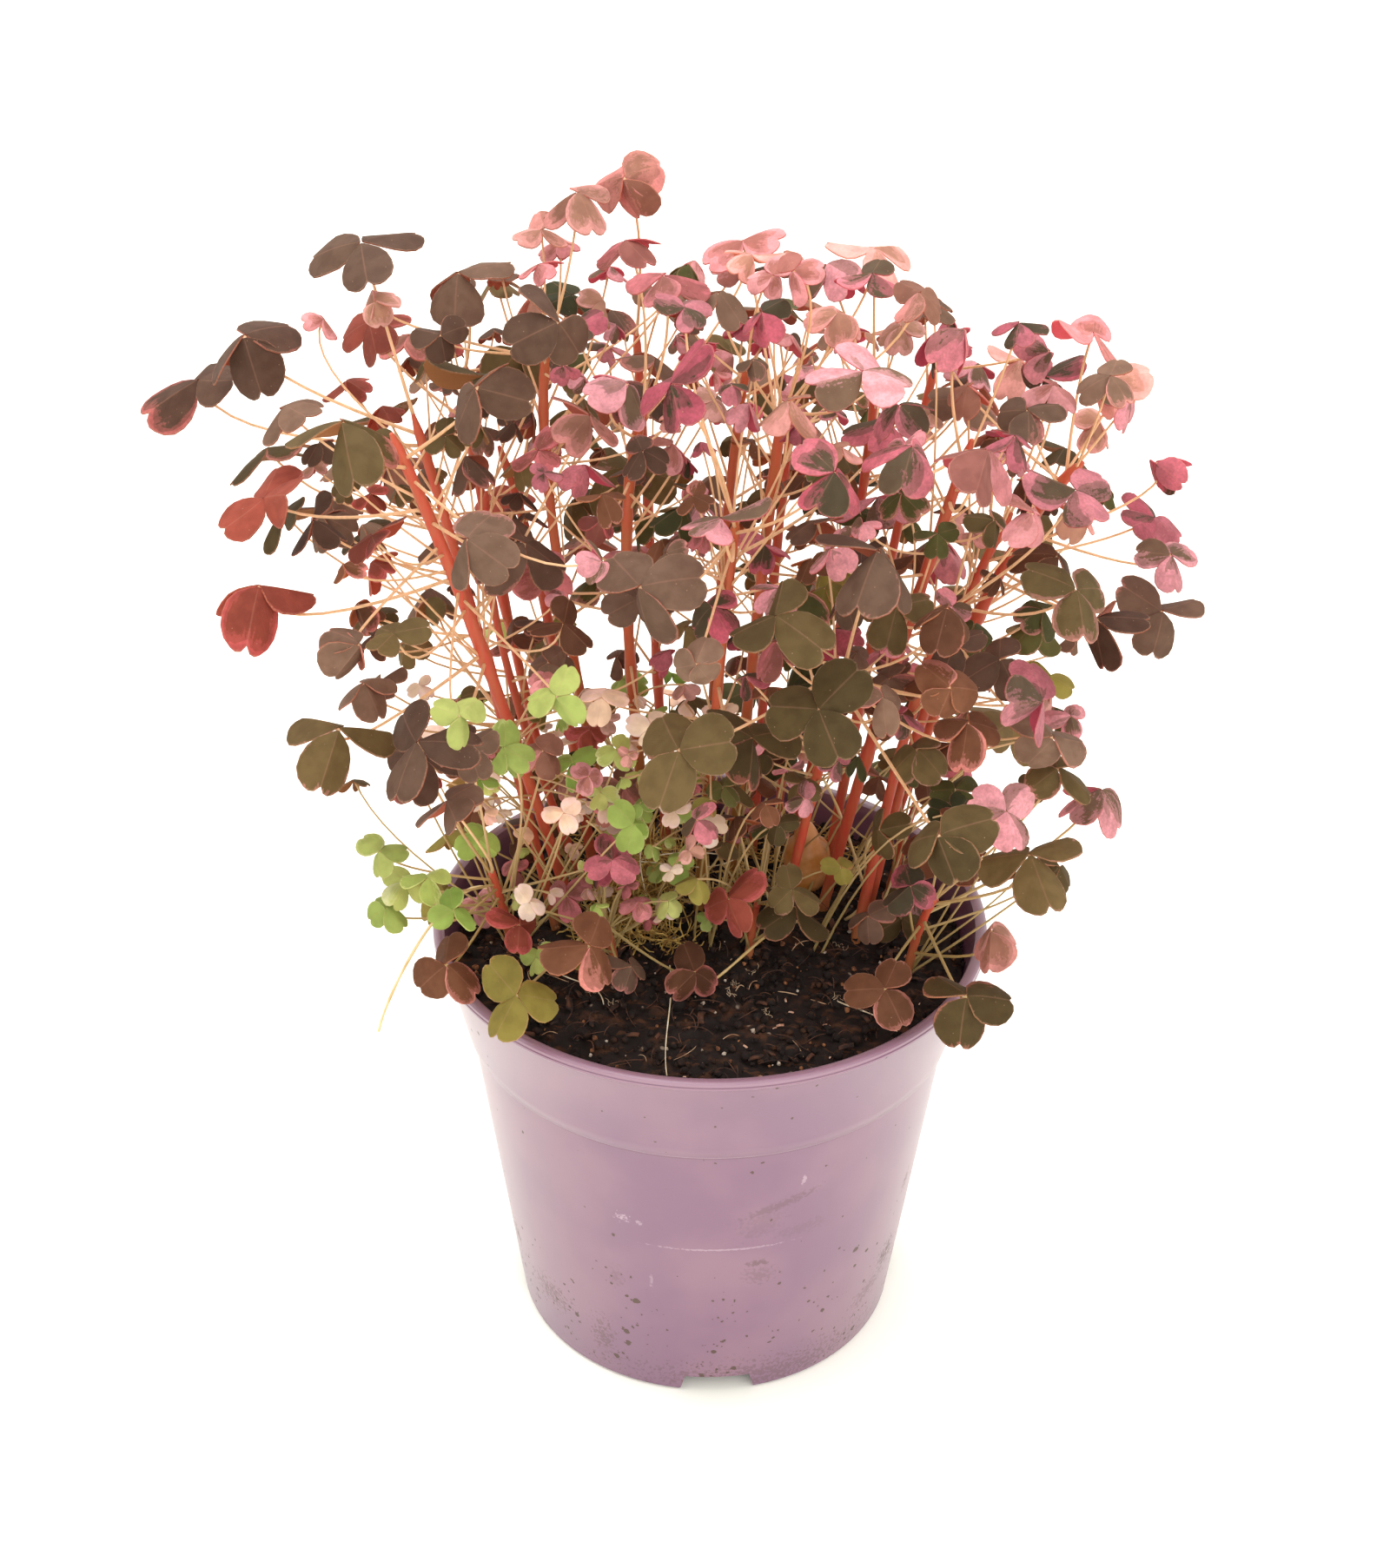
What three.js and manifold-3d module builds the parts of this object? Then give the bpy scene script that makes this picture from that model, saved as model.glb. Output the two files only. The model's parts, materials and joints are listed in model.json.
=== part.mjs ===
// Potted volcanic sorrel: a bushy Oxalis with pink and plum three-part leaves in a mauve nursery pot.
// Millimetres, +Z up. The pot stands on z = 0, and the front of the plant looks along -Y.
import * as THREE from "three";
import { mergeVertices } from "three/addons/utils/BufferGeometryUtils.js";
import Module from "manifold-3d";

const wasm = await Module();
wasm.setup();

// Driving dimensions

const POT = {
  height: 100,
  lipRadius: 60,
  lipDepth: 2.2,
  collarTopRadius: 58.6,
  collarFootRadius: 53.6,
  collarFootHeight: 74,
  stepIn: 0.9,
  footRadius: 43,
  footRingWidth: 2.2,
  floorHeight: 3,
  floorThickness: 1.6,
  wall: 1.2,
  sides: 32,
};
const NOTCH = { width: 17, topWidth: 14.3, height: 4.8, depth: 9, outside: 2, below: 1, turnDegrees: 4, count: 4 };
const SOIL = { topHeight: 92, edgeDrop: 0.5, mound: 2.4, gap: 0.4, rings: [54, 36, 18] };
const RIPPLE = { height: 0.5, lengthX: 7, lengthY: 6, shiftY: 1 };
const STEM = { sides: 5, steps: 6, sunk: 7, tipShare: 0.62, shortUnder: 50, shortSteps: 3 };
const HOLE = { gap: 0.7, below: 0.8, above: 6 };
const LEAF = {
  bladeThickness: 0.65,
  hubRadius: 0.95,
  hubThickness: 0.9,
  widthShare: 0.98,
  fold: 0.16,
  droopPower: 1.25,
  fineFrom: 14,
};
const PETIOLE = { radius: 0.6, bendShare: 0.32, rimFrom: 46, overRim: 5, overSoil: 6, guard: 0.2, guardStep: 2 };
const CLEARANCE = 0.6;
const POT_CLEARANCE = 0.8;
const INSIDE_RIM = 56;
const ROOT_FREE = 6;
const HIGHEST_ROOT = 0.98;
const DEGREE = Math.PI / 180;
const GOLDEN_ANGLE = 137.5 * DEGREE;

// The place from which the plant is seen. A crowded leaf slides along its line of sight.
const EYE = new THREE.Vector3(0, -437, 398);
const SLIDES = [0, 4, -4, 8, -8, 12, -12, 17, -17, 23, -23];

const COLOURS = {
  pot: "#b991a0",
  soil: "#3a2a22",
  plum: "#6b5149",
  olive: "#6d6246",
  brown: "#7a4f40",
  golden: "#9c8446",
  lime: "#8fb05c",
  red: "#b0504a",
  dusty: "#b57a74",
  rose: "#c9737d",
  peach: "#dc9a80",
  pink: "#e18ca5",
};

// Half of a leaflet's outline from its foot to its notch: share of the length, share of the half width.
const FINE_OUTLINE = [
  [0.3, 0.56],
  [0.66, 1.0],
  [0.96, 0.62],
];
const PLAIN_OUTLINE = [
  [0.44, 0.86],
  [0.92, 0.8],
];
const NOTCH_AT = 0.86;

// Where a petiole bends on its way from the hub to its root, as shares of its length.
const PETIOLE_JOINTS = [0.4, 1];

// Spots on a leaflet round which the crowd keeps its distance.
const GUARD_SPOTS = [
  [0.3, 0],
  [0.55, 0.66],
  [0.55, -0.66],
  [0.6, 0],
  [0.84, 0.52],
  [0.84, -0.52],
];
const GUARD_SHARE = 0.18;

// Stems by name: foot in the soil (x, y), a point they pass halfway, their tip, radius at the soil, then the
// look and the number of the leaves that the growth rule adds.
const STEMS = [
  ["stem_left", [-28, 6], [-46, -6, 165], [-61, -14, 217], 2.1, "plum", 2],
  ["stem_left_rear", [-25, 17], [-43, 12, 152], [-47, 20, 190], 1.4, "red", 2],
  ["stem_tall_left", [-20, 26], [-33, 18, 179], [-33, 16, 224], 1.7, "plum", 1],
  ["stem_middle", [-12, 20], [-18, 12, 170], [-14, 6, 214], 1.8, "pink", 1],
  ["stem_centre", [-3, 9], [1, -5, 158], [4, -14, 200], 1.6, "olive", 1],
  ["stem_centre_rear", [4, 24], [10, 8, 182], [13, 0, 217], 1.8, "pink", 1],
  ["stem_right", [24, 13], [36, 5, 152], [49, -4, 213], 2.3, "pink", 2],
  ["stem_right_outer", [36, 27], [55, 14, 166], [72, 4, 205], 1.8, "pink", 2],
  ["stem_right_low", [31, 0], [41, 0, 150], [48, -8, 180], 1.7, "olive", 1],
  ["stem_amber", [14, 3], [22, -6, 140], [26, -18, 172], 1.6, "olive", 1],
  ["stem_top", [-2, 36], [2, 24, 176], [6, 14, 220], 1.5, "pink", 2],
  ["stem_top_left", [-32, 34], [-48, 32, 174], [-51, 28, 214], 1.6, "plum", 3],
  ["stem_top_right", [18, 38], [28, 32, 159], [32, 26, 212], 1.6, "pink", 3],
  ["shoot_left", [-42, -4], [-44, -8, 105], [-46, -12, 118], 1.5, "lime", 1],
  ["shoot_left_front", [-20, -10], [-21, -12, 100], [-23, -13, 107], 1.4, "olive", 1],
  ["shoot_front", [8, -8], [9, -9, 101], [10, -11, 110], 1.4, "red", 1],
  ["shoot_right", [42, -10], [44, -13, 104], [47, -17, 116], 1.5, "olive", 1],
];

// Stems of the far side: evenly turned about the pot, with tips at two heights by turns.
const FAR_STEMS = {
  count: 6,
  firstDegrees: 8,
  stepDegrees: 33,
  foot: 33,
  middle: 46,
  tip: 60,
  middleHeight: 152,
  tipHeights: [192, 212],
  radius: 1.7,
  leaves: 6,
  looks: ["pink", "olive", "plum"],
};
const FAR_SHOOTS = {
  count: 3,
  firstDegrees: 25,
  stepDegrees: 45,
  foot: 43,
  tip: 50,
  middleHeight: 103,
  tipHeight: 116,
  radius: 1.5,
  leaves: 2,
  look: "lime",
};

// Leaves that show from the front, placed one by one: look, hub (x, y, z), the way the upper face looks
// (degrees to the right of the front, degrees up), turn of the first leaflet, length, droop in degrees.
const SEEN_LEAVES = [
  // Far left and top left
  ["plum", [-68, 11, 245], -40, 75, 40, 15, 20],
  ["red", [-67, 9, 230], -80, 75, 40, 11, 20],
  ["plum", [-91, 6, 228], 0, 60, 50, 15, 40],
  ["plum", [-100, 3, 220], -20, 75, 90, 14, 0],
  ["plum", [-84, 5, 214], -80, 60, 70, 10, 0],
  ["olive", [-69, -19, 221], -40, 75, 40, 15, 20],
  ["red", [-85, -18, 205], -80, 45, 80, 13, 0],
  ["red", [-86, -27, 191], 0, 90, 20, 14, 40],
  ["olive", [-70, -44, 170], 20, 60, 20, 14, 20],
  ["plum", [-65, -44, 188], 40, 30, 10, 11, 40],
  ["plum", [-44, -45, 210], -40, 45, 80, 13, 20],
  ["plum", [-54, -52, 172], -40, 60, 0, 13, 0],
  ["plum", [-49, -53, 160], -80, 60, 50, 10, 20],
  ["lime", [-46, -54, 179], 20, 30, 40, 7, 30],
  ["lime", [-28, -57, 185], 0, 30, 70, 8, 20],
  ["plum", [-45, -50, 170], -20, 75, 50, 9, 20],
  // Top
  ["plum", [-50, 12, 239], -40, 60, 20, 12, 20],
  ["plum", [-43, -28, 232], -20, 30, 110, 14, 40],
  ["plum", [-29, -19, 241], 40, 30, 90, 12, 20],
  ["dusty", [-27, 15, 254], 0, 90, 60, 10, 20],
  ["pink", [-18, 15, 257], -20, 45, 40, 12, 40],
  ["rose", [-18, 14, 245], -80, 60, 60, 10, 20],
  ["rose", [-10, -11, 247], -60, 75, 20, 12, 20],
  ["rose", [10, -7, 246], 20, 30, 60, 7, 30],
  ["pink", [29, 6, 242], 40, 75, 70, 9, 0],
  ["pink", [-6, -19, 244], 0, 80, 50, 8, 0],
  ["peach", [30, 14, 244], 0, 80, 50, 12, 0],
  ["peach", [6, 1, 247], 60, 75, 10, 8, 0],
  ["pink", [-25, -21, 241], 0, 80, 30, 8, 0],
  // Centre
  ["pink", [-8, -33, 235], -40, 45, 40, 12, 0],
  ["pink", [-16, -33, 235], 60, 45, 90, 11, 40],
  ["pink", [26, -26, 235], 0, 80, 90, 13, 0],
  ["pink", [21, -41, 222], 60, 60, 10, 12, 20],
  ["pink", [35, -34, 224], 60, 75, 20, 13, 20],
  ["plum", [-13, -53, 205], -40, 45, 10, 14, 20],
  ["pink", [1, -48, 216], -40, 75, 10, 12, 0],
  ["plum", [29, -46, 209], 60, 75, 10, 15, 20],
  ["olive", [11, -54, 200], -40, 60, 80, 12, 0],
  ["olive", [-6, -60, 176], -20, 30, 10, 14, 20],
  ["olive", [7, -59, 178], 40, 60, 30, 13, 0],
  ["olive", [19, -57, 183], -20, 45, 50, 13, 0],
  // Right
  ["pink", [46, -4, 235], 60, 60, 0, 11, 40],
  ["rose", [72, 8, 230], 60, 75, 80, 12, 0],
  ["pink", [64, 9, 226], 40, 30, 50, 9, 40],
  ["pink", [64, 8, 221], -60, 45, 10, 10, 0],
  ["peach", [77, 6, 221], -20, 40, 20, 11, 40],
  ["pink", [86, 2, 206], -60, 45, 70, 10, 40],
  ["rose", [49, -28, 221], 60, 75, 20, 14, 20],
  ["pink", [67, -21, 210], 60, 75, 50, 13, 0],
  ["pink", [86, 0, 195], 60, 45, 100, 11, 0],
  ["pink", [90, -2, 188], 0, 60, 40, 10, 20],
  ["olive", [67, -32, 195], 60, 60, 40, 13, 20],
  ["plum", [72, -30, 188], -60, 40, 0, 12, 30],
  ["plum", [89, -5, 177], 40, 60, 30, 11, 20],
  ["golden", [42, -46, 198], 60, 75, 20, 10, 40],
  ["rose", [58, -31, 210], 20, 60, 110, 10, 40],
  ["pink", [61, -42, 177], 60, 30, 80, 13, 0],
  ["peach", [66, -37, 181], -60, 60, 50, 11, 40],
  ["brown", [43, -50, 184], 0, 45, 10, 10, 40],
  ["brown", [47, -49, 176], 0, 80, 20, 10, 40],
  ["plum", [64, -40, 168], 20, 40, 0, 11, 40],
  ["olive", [66, -38, 160], 0, 60, 90, 10, 40],
  ["peach", [69, -36, 168], 0, 75, 80, 10, 40],
  ["pink", [56, -44, 154], 20, 45, 40, 10, 0],
  ["olive", [63, -33, 137], -60, 60, 40, 15, 20],
  ["olive", [43, -50, 152], -60, 60, 30, 13, 40],
  // Low, over the soil and the rim
  ["pink", [41, -22, 122], 0, 60, 100, 9, 20],
  ["peach", [57, -32, 118], -60, 75, 20, 12, 40],
  ["olive", [52, -38, 106], -20, 60, 10, 14, 40],
  ["brown", [38, -30, 104], -40, 60, 0, 12, 20],
  ["olive", [18, -13, 110], 60, 60, 100, 11, 20],
  ["red", [4, -10, 110], -60, 60, 40, 10, 20],
  ["golden", [-38, -48, 112], 30, 60, 10, 12, 20],
  ["brown", [-25, -25, 108], 40, 50, 70, 12, 20],
  ["brown", [-53, -38, 112], 0, 60, 90, 11, 40],
  ["rose", [-42, -22, 124], 30, 40, 40, 12, 20],
  ["lime", [-62, -26, 124], 20, 75, 10, 8, 20],
  ["golden", [-55, -21, 118], 0, 60, 110, 9, 40],
  ["lime", [-47, -22, 132], 20, 40, 90, 7, 30],
  ["pink", [-23, -12, 122], -60, 75, 20, 9, 20],
  ["red", [-41, -6, 100], 40, 50, 30, 8, 20],
  ["brown", [-3, -21, 99], 40, 60, 110, 9, 20],
];

// The room that the growth rule may fill: an egg-shaped space about the plant.
const ROOM = { centre: [-4, 6, 166], reach: [100, 88, 80], lowest: 112 };
const GROWTH = {
  tries: 60,
  topShare: 0.55,
  topPower: 1.6,
  turns: 7,
  petiole: [24, 48],
  rise: [18, 78],
  lean: [0.25, 0.75],
  swayX: [-0.15, 0.15],
  swayY: [-0.25, 0.05],
  spin: [0, 120],
  length: [8, 14],
  droop: [0, 40],
  seed: 20707,
};

// The roots that a hub may have: how far off, how squarely below the leaf, and what each is worth.
const ROOTS = {
  count: 25,
  step: 0.025,
  nearest: 9,
  farthest: 66,
  ideal: 30,
  leastUnder: 0.1,
  mostAbove: 0.25,
  underCost: 30,
  lowCost: 20,
  kept: 14,
};

// A grown leaf hides a placed one if it is no more than this much farther off and within this share of their lengths.
const HIDING = { behind: 4, spread: 0.8 };

// Solids and meshes

function solidOf(geometry) {
  const bare = geometry.clone();
  bare.deleteAttribute("normal");
  bare.deleteAttribute("uv");
  const merged = mergeVertices(bare, 1e-4);
  return new wasm.Manifold(
    new wasm.Mesh({
      numProp: 3,
      vertProperties: new Float32Array(merged.attributes.position.array),
      triVerts: new Uint32Array(merged.index.array),
    }),
  );
}

function geometryOf(solid) {
  const mesh = solid.getMesh();
  const geometry = new THREE.BufferGeometry();
  geometry.setAttribute("position", new THREE.BufferAttribute(mesh.vertProperties, 3));
  geometry.setIndex(new THREE.BufferAttribute(mesh.triVerts, 1));
  return geometry;
}

function meshOf(name, solid, colour, roughness) {
  const geometry = geometryOf(solid);
  geometry.computeVertexNormals();
  const material = new THREE.MeshStandardMaterial({ color: colour, roughness, metalness: 0 });
  const mesh = new THREE.Mesh(geometry, material);
  mesh.name = name;
  return mesh;
}

function turnedSolid(profile, sides) {
  const points = profile.map(([radius, height]) => new THREE.Vector2(radius, height));
  const geometry = new THREE.LatheGeometry(points, sides);
  geometry.rotateX(Math.PI / 2);
  return solidOf(geometry);
}

// A round bar along a curve. taper(share) scales its radius from start to end.
function barGeometry(curve, radius, sides, steps, taper) {
  const section = new THREE.Shape();
  for (let i = 0; i <= sides; i += 1) {
    const angle = (i / sides) * 2 * Math.PI;
    const point = [radius * Math.cos(angle), radius * Math.sin(angle)];
    if (i === 0) section.moveTo(...point);
    else section.lineTo(...point);
  }
  const geometry = new THREE.ExtrudeGeometry(section, { steps, extrudePath: curve, bevelEnabled: false });
  const centres = curve.getSpacedPoints(steps);
  const positions = geometry.attributes.position;
  const vertex = new THREE.Vector3();
  for (let i = 0; i < positions.count; i += 1) {
    vertex.fromBufferAttribute(positions, i);
    let step = 0;
    for (let s = 1; s <= steps; s += 1) {
      if (vertex.distanceTo(centres[s]) < vertex.distanceTo(centres[step])) step = s;
    }
    vertex.sub(centres[step]).multiplyScalar(taper(step / steps)).add(centres[step]);
    positions.setXYZ(i, vertex.x, vertex.y, vertex.z);
  }
  return geometry;
}

// Pot

function potWallRadius(height) {
  const { collarFootHeight, collarFootRadius, collarTopRadius, footRadius, height: top, lipDepth, stepIn } = POT;
  if (height < collarFootHeight) {
    return THREE.MathUtils.mapLinear(height, 0, collarFootHeight, footRadius, collarFootRadius - stepIn);
  }
  return THREE.MathUtils.mapLinear(height, collarFootHeight, top - lipDepth, collarFootRadius, collarTopRadius);
}

function potInnerRadius(height) {
  const { collarFootHeight, collarFootRadius, collarTopRadius, wall } = POT;
  if (height < collarFootHeight) return potWallRadius(height) - wall;
  return THREE.MathUtils.mapLinear(
    height, collarFootHeight, POT.height, collarFootRadius - wall, collarTopRadius - wall,
  );
}

function potSolid() {
  const { height, lipRadius, lipDepth, collarFootHeight, stepIn, footRadius, footRingWidth } = POT;
  const { floorHeight, floorThickness, sides } = POT;
  const floorTop = floorHeight + floorThickness;
  const underStep = collarFootHeight - stepIn;
  const underLip = height - lipDepth;
  const roundEdge = 0.5;
  let pot = turnedSolid(
    [
      [0, floorHeight],
      [footRadius - footRingWidth, floorHeight],
      [footRadius - footRingWidth, 0],
      [footRadius, 0],
      [potWallRadius(underStep), underStep],
      [potWallRadius(collarFootHeight), collarFootHeight],
      [potWallRadius(underLip), underLip],
      [lipRadius, underLip + roundEdge],
      [lipRadius, height - roundEdge],
      [lipRadius - roundEdge, height],
      [potInnerRadius(height), height],
      [potInnerRadius(collarFootHeight), collarFootHeight],
      [potInnerRadius(underStep), underStep],
      [potInnerRadius(floorTop), floorTop],
      [0, floorTop],
    ],
    sides,
  );
  for (let i = 0; i < NOTCH.count; i += 1) {
    pot = pot.subtract(notchSolid(NOTCH.turnDegrees * DEGREE + (i * 2 * Math.PI) / NOTCH.count));
  }
  return pot;
}

// A drain notch in the foot: a low arch that opens through the edge of the floor.
function notchSolid(turn) {
  const { width, topWidth, height, depth, outside, below } = NOTCH;
  const arch = new THREE.Shape([
    new THREE.Vector2(-width / 2, -below),
    new THREE.Vector2(width / 2, -below),
    new THREE.Vector2(width / 2, 0),
    new THREE.Vector2(topWidth / 2, height),
    new THREE.Vector2(-topWidth / 2, height),
    new THREE.Vector2(-width / 2, 0),
  ]);
  const geometry = new THREE.ExtrudeGeometry(arch, { depth, bevelEnabled: false });
  geometry.rotateX(Math.PI / 2);
  geometry.translate(0, -POT.footRadius + depth - outside, 0);
  geometry.rotateZ(turn);
  return solidOf(geometry);
}

// Soil

function soilHeight(x, y) {
  const reach = Math.hypot(x, y) / SOIL.rings[0];
  const ripple = RIPPLE.height * Math.sin(x / RIPPLE.lengthX) * Math.cos(y / RIPPLE.lengthY + RIPPLE.shiftY);
  return SOIL.topHeight + SOIL.mound * Math.max(0, 1 - reach * reach) + ripple * Math.max(0, 1 - reach);
}

function soilSolid(stems) {
  const bottom = POT.floorHeight + POT.floorThickness + SOIL.gap;
  const waist = POT.collarFootHeight - POT.stepIn;
  const edge = SOIL.topHeight - SOIL.edgeDrop;
  const side = (height) => potInnerRadius(height) - SOIL.gap;
  const profile = [
    [0, bottom],
    [side(bottom), bottom],
    [side(waist), waist],
    [side(edge), edge],
    ...SOIL.rings.map((radius) => [radius, SOIL.topHeight]),
    [0, SOIL.topHeight],
  ];
  const points = profile.map(([radius, height]) => new THREE.Vector2(radius, height));
  const geometry = new THREE.LatheGeometry(points, POT.sides);
  geometry.rotateX(Math.PI / 2);
  const positions = geometry.attributes.position;
  for (let i = 0; i < positions.count; i += 1) {
    const [x, y, z] = [positions.getX(i), positions.getY(i), positions.getZ(i)];
    if (z === SOIL.topHeight) positions.setZ(i, soilHeight(x, y));
  }
  let soil = solidOf(geometry);
  for (const stem of stems) soil = soil.subtract(stemHole(stem));
  return soil;
}

// The plain hole in which a stem stands: a wider bar along the stem's foot.
function stemHole(stem) {
  const foot = stem.curve.getPoint(0);
  const above = stem.curve.getPointAt((STEM.sunk + HOLE.above) / stem.curve.getLength());
  const way = above.clone().sub(foot).normalize();
  const line = new THREE.LineCurve3(foot.addScaledVector(way, -HOLE.below), above);
  return solidOf(barGeometry(line, stem.radius + HOLE.gap, STEM.sides, 1, () => 1));
}

// Repeatable random draws

class Draw {
  constructor(seed) {
    this.state = seed;
  }

  next() {
    this.state = (this.state * 16807) % 2147483647;
    return this.state / 2147483647;
  }

  between([low, high]) {
    return low + (high - low) * this.next();
  }
}

// What is already standing: balls in cells, so that a new leaf can be kept clear of them.
class Crowd {
  constructor() {
    this.cells = new Map();
    this.cellSize = 8;
  }

  key(i, j, k) {
    return (i * 1000 + j) * 1000 + k;
  }

  add(balls) {
    for (const ball of balls) {
      const [i, j, k] = [ball.x, ball.y, ball.z].map((value) => Math.floor(value / this.cellSize));
      const key = this.key(i, j, k);
      if (!this.cells.has(key)) this.cells.set(key, []);
      this.cells.get(key).push(ball);
    }
  }

  // True if every ball keeps clear of the crowd, but for its own stem's balls near the root.
  isClear(balls, root) {
    for (const ball of balls) {
      const [i, j, k] = [ball.x, ball.y, ball.z].map((value) => Math.floor(value / this.cellSize));
      for (let n = 0; n < 27; n += 1) {
        const cell = this.cells.get(
          this.key(i + (n % 3) - 1, j + (Math.floor(n / 3) % 3) - 1, k + Math.floor(n / 9) - 1),
        );
        if (cell && cell.some((other) => tooClose(ball, other, root))) return false;
      }
    }
    return true;
  }
}

function tooClose(ball, other, root) {
  const gap = Math.hypot(ball.x - other.x, ball.y - other.y, ball.z - other.z);
  if (gap >= ball.r + other.r + CLEARANCE) return false;
  const fromRoot = Math.hypot(ball.x - root.x, ball.y - root.y, ball.z - root.z);
  return other.owner !== ball.owner || fromRoot > ROOT_FREE;
}

// Leaves

function facing(azimuth, elevation) {
  const [a, e] = [azimuth * DEGREE, elevation * DEGREE];
  return new THREE.Vector3(Math.sin(a) * Math.cos(e), -Math.cos(a) * Math.cos(e), Math.sin(e));
}

// A leaf's own axes: its normal, and two axes in its plane that read as right and up from the front.
function makeLeaf(look, hub, normal, spin, length, droop) {
  const right = new THREE.Vector3(1, 0, 0).addScaledVector(normal, -normal.x).normalize();
  const up = new THREE.Vector3().crossVectors(normal, right);
  return { look, hub, normal, right, up, spin: spin * DEGREE, length, droop: droop * DEGREE };
}

function leafletAxes(leaf, index) {
  const turn = leaf.spin + (index * 2 * Math.PI) / 3;
  const out = leaf.right.clone().multiplyScalar(Math.cos(turn)).addScaledVector(leaf.up, Math.sin(turn));
  const side = leaf.right.clone().multiplyScalar(-Math.sin(turn)).addScaledVector(leaf.up, Math.cos(turn));
  const face = leaf.normal.clone().multiplyScalar(Math.cos(leaf.droop)).addScaledVector(out, Math.sin(leaf.droop));
  return { out, side, face };
}

// A point of a leaflet's middle surface, at a share of its length and of its half width.
function bladePoint(leaf, axes, along, across) {
  const halfWidth = (leaf.length * LEAF.widthShare) / 2;
  return leaf.hub
    .clone()
    .addScaledVector(axes.out, along * leaf.length * Math.cos(leaf.droop))
    .addScaledVector(leaf.normal, -(along ** LEAF.droopPower) * leaf.length * Math.sin(leaf.droop))
    .addScaledVector(axes.side, across * halfWidth)
    .addScaledVector(axes.face, -LEAF.fold * Math.abs(across) * halfWidth);
}

function leafBalls(leaf) {
  const balls = [];
  for (let index = 0; index < 3; index += 1) {
    const axes = leafletAxes(leaf, index);
    for (const [along, across] of GUARD_SPOTS) {
      const { x, y, z } = bladePoint(leaf, axes, along, across);
      balls.push({ x, y, z, r: leaf.length * GUARD_SHARE, owner: leaf.owner });
    }
  }
  return balls;
}

// The petiole leaves the hub from below and bends to its root on the stem.
function petioleCurve(leaf) {
  const reach = leaf.hub.distanceTo(leaf.root);
  const bend = leaf.hub.clone().addScaledVector(leaf.normal, -PETIOLE.bendShare * reach);
  const overRim = Math.hypot(bend.x, bend.y) > PETIOLE.rimFrom;
  const lowest = overRim ? POT.height + PETIOLE.overRim : SOIL.topHeight + PETIOLE.overSoil;
  bend.z = Math.max(bend.z, lowest);
  return new THREE.QuadraticBezierCurve3(leaf.hub, bend, leaf.root);
}

function petioleBalls(leaf) {
  const balls = [];
  const curve = petioleCurve(leaf);
  const joints = [0, ...PETIOLE_JOINTS].map((share) => curve.getPoint(share));
  for (let j = 0; j + 1 < joints.length; j += 1) {
    const count = Math.ceil(joints[j].distanceTo(joints[j + 1]) / PETIOLE.guardStep);
    for (let i = 1; i <= count; i += 1) {
      const { x, y, z } = joints[j].clone().lerp(joints[j + 1], i / count);
      balls.push({ x, y, z, r: PETIOLE.radius + PETIOLE.guard, owner: leaf.owner });
    }
  }
  return balls;
}

// True if a ball runs into the soil or the rim of the pot.
function hitsPot(ball) {
  const reach = Math.hypot(ball.x, ball.y);
  const bottom = ball.z - ball.r;
  if (reach < INSIDE_RIM) return bottom < soilHeight(ball.x, ball.y) + POT_CLEARANCE;
  return reach - ball.r < POT.lipRadius + 1 && bottom < POT.height + POT_CLEARANCE;
}

// The closed surface of one leaf: a three-cornered hub, a leaflet on each side and the petiole below.
function leafGeometry(leaf) {
  const half = leaf.length < LEAF.fineFrom ? PLAIN_OUTLINE : FINE_OUTLINE;
  const corners = [];
  for (let index = 0; index < 3; index += 1) {
    const turn = leaf.spin + ((2 * index + 1) * Math.PI) / 3;
    corners.push(
      leaf.right.clone().multiplyScalar(Math.cos(turn)).addScaledVector(leaf.up, Math.sin(turn)),
    );
  }
  const triangles = [];
  const face = (...points) => triangles.push(...points);
  const wall = (p, q) => {
    face(p.top, p.bottom, q.bottom);
    face(p.top, q.bottom, q.top);
  };
  const spot = (point, normal, thickness) => ({
    top: point.clone().addScaledVector(normal, thickness / 2),
    bottom: point.clone().addScaledVector(normal, -thickness / 2),
  });
  const hub = corners.map((corner) => {
    const point = leaf.hub.clone().addScaledVector(corner, LEAF.hubRadius);
    return spot(point, leaf.normal, LEAF.hubThickness);
  });
  face(hub[0].top, hub[1].top, hub[2].top);
  for (let index = 0; index < 3; index += 1) {
    const axes = leafletAxes(leaf, index);
    const at = (along, across) => spot(bladePoint(leaf, axes, along, across), axes.face, LEAF.bladeThickness);
    const rightFoot = hub[(index + 2) % 3];
    const leftFoot = hub[index];
    const right = half.map(([along, across]) => at(along, -across));
    const left = half.map(([along, across]) => at(along, across));
    const notch = at(NOTCH_AT, 0);
    const rightLoop = [rightFoot, ...right, notch];
    const leftLoop = [leftFoot, ...left, notch];
    for (let i = 1; i + 1 < rightLoop.length; i += 1) {
      face(rightFoot.top, rightLoop[i].top, rightLoop[i + 1].top);
      face(rightFoot.bottom, rightLoop[i + 1].bottom, rightLoop[i].bottom);
      face(leftFoot.top, leftLoop[i + 1].top, leftLoop[i].top);
      face(leftFoot.bottom, leftLoop[i].bottom, leftLoop[i + 1].bottom);
    }
    face(rightFoot.top, notch.top, leftFoot.top);
    face(rightFoot.bottom, leftFoot.bottom, notch.bottom);
    for (let i = 0; i + 1 < rightLoop.length; i += 1) {
      wall(rightLoop[i], rightLoop[i + 1]);
      wall(leftLoop[i + 1], leftLoop[i]);
    }
  }
  addPetiole(leaf, corners, hub, face);
  const positions = new Float32Array(triangles.flatMap(({ x, y, z }) => [x, y, z]));
  return new THREE.BufferGeometry().setAttribute("position", new THREE.BufferAttribute(positions, 3));
}

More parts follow.
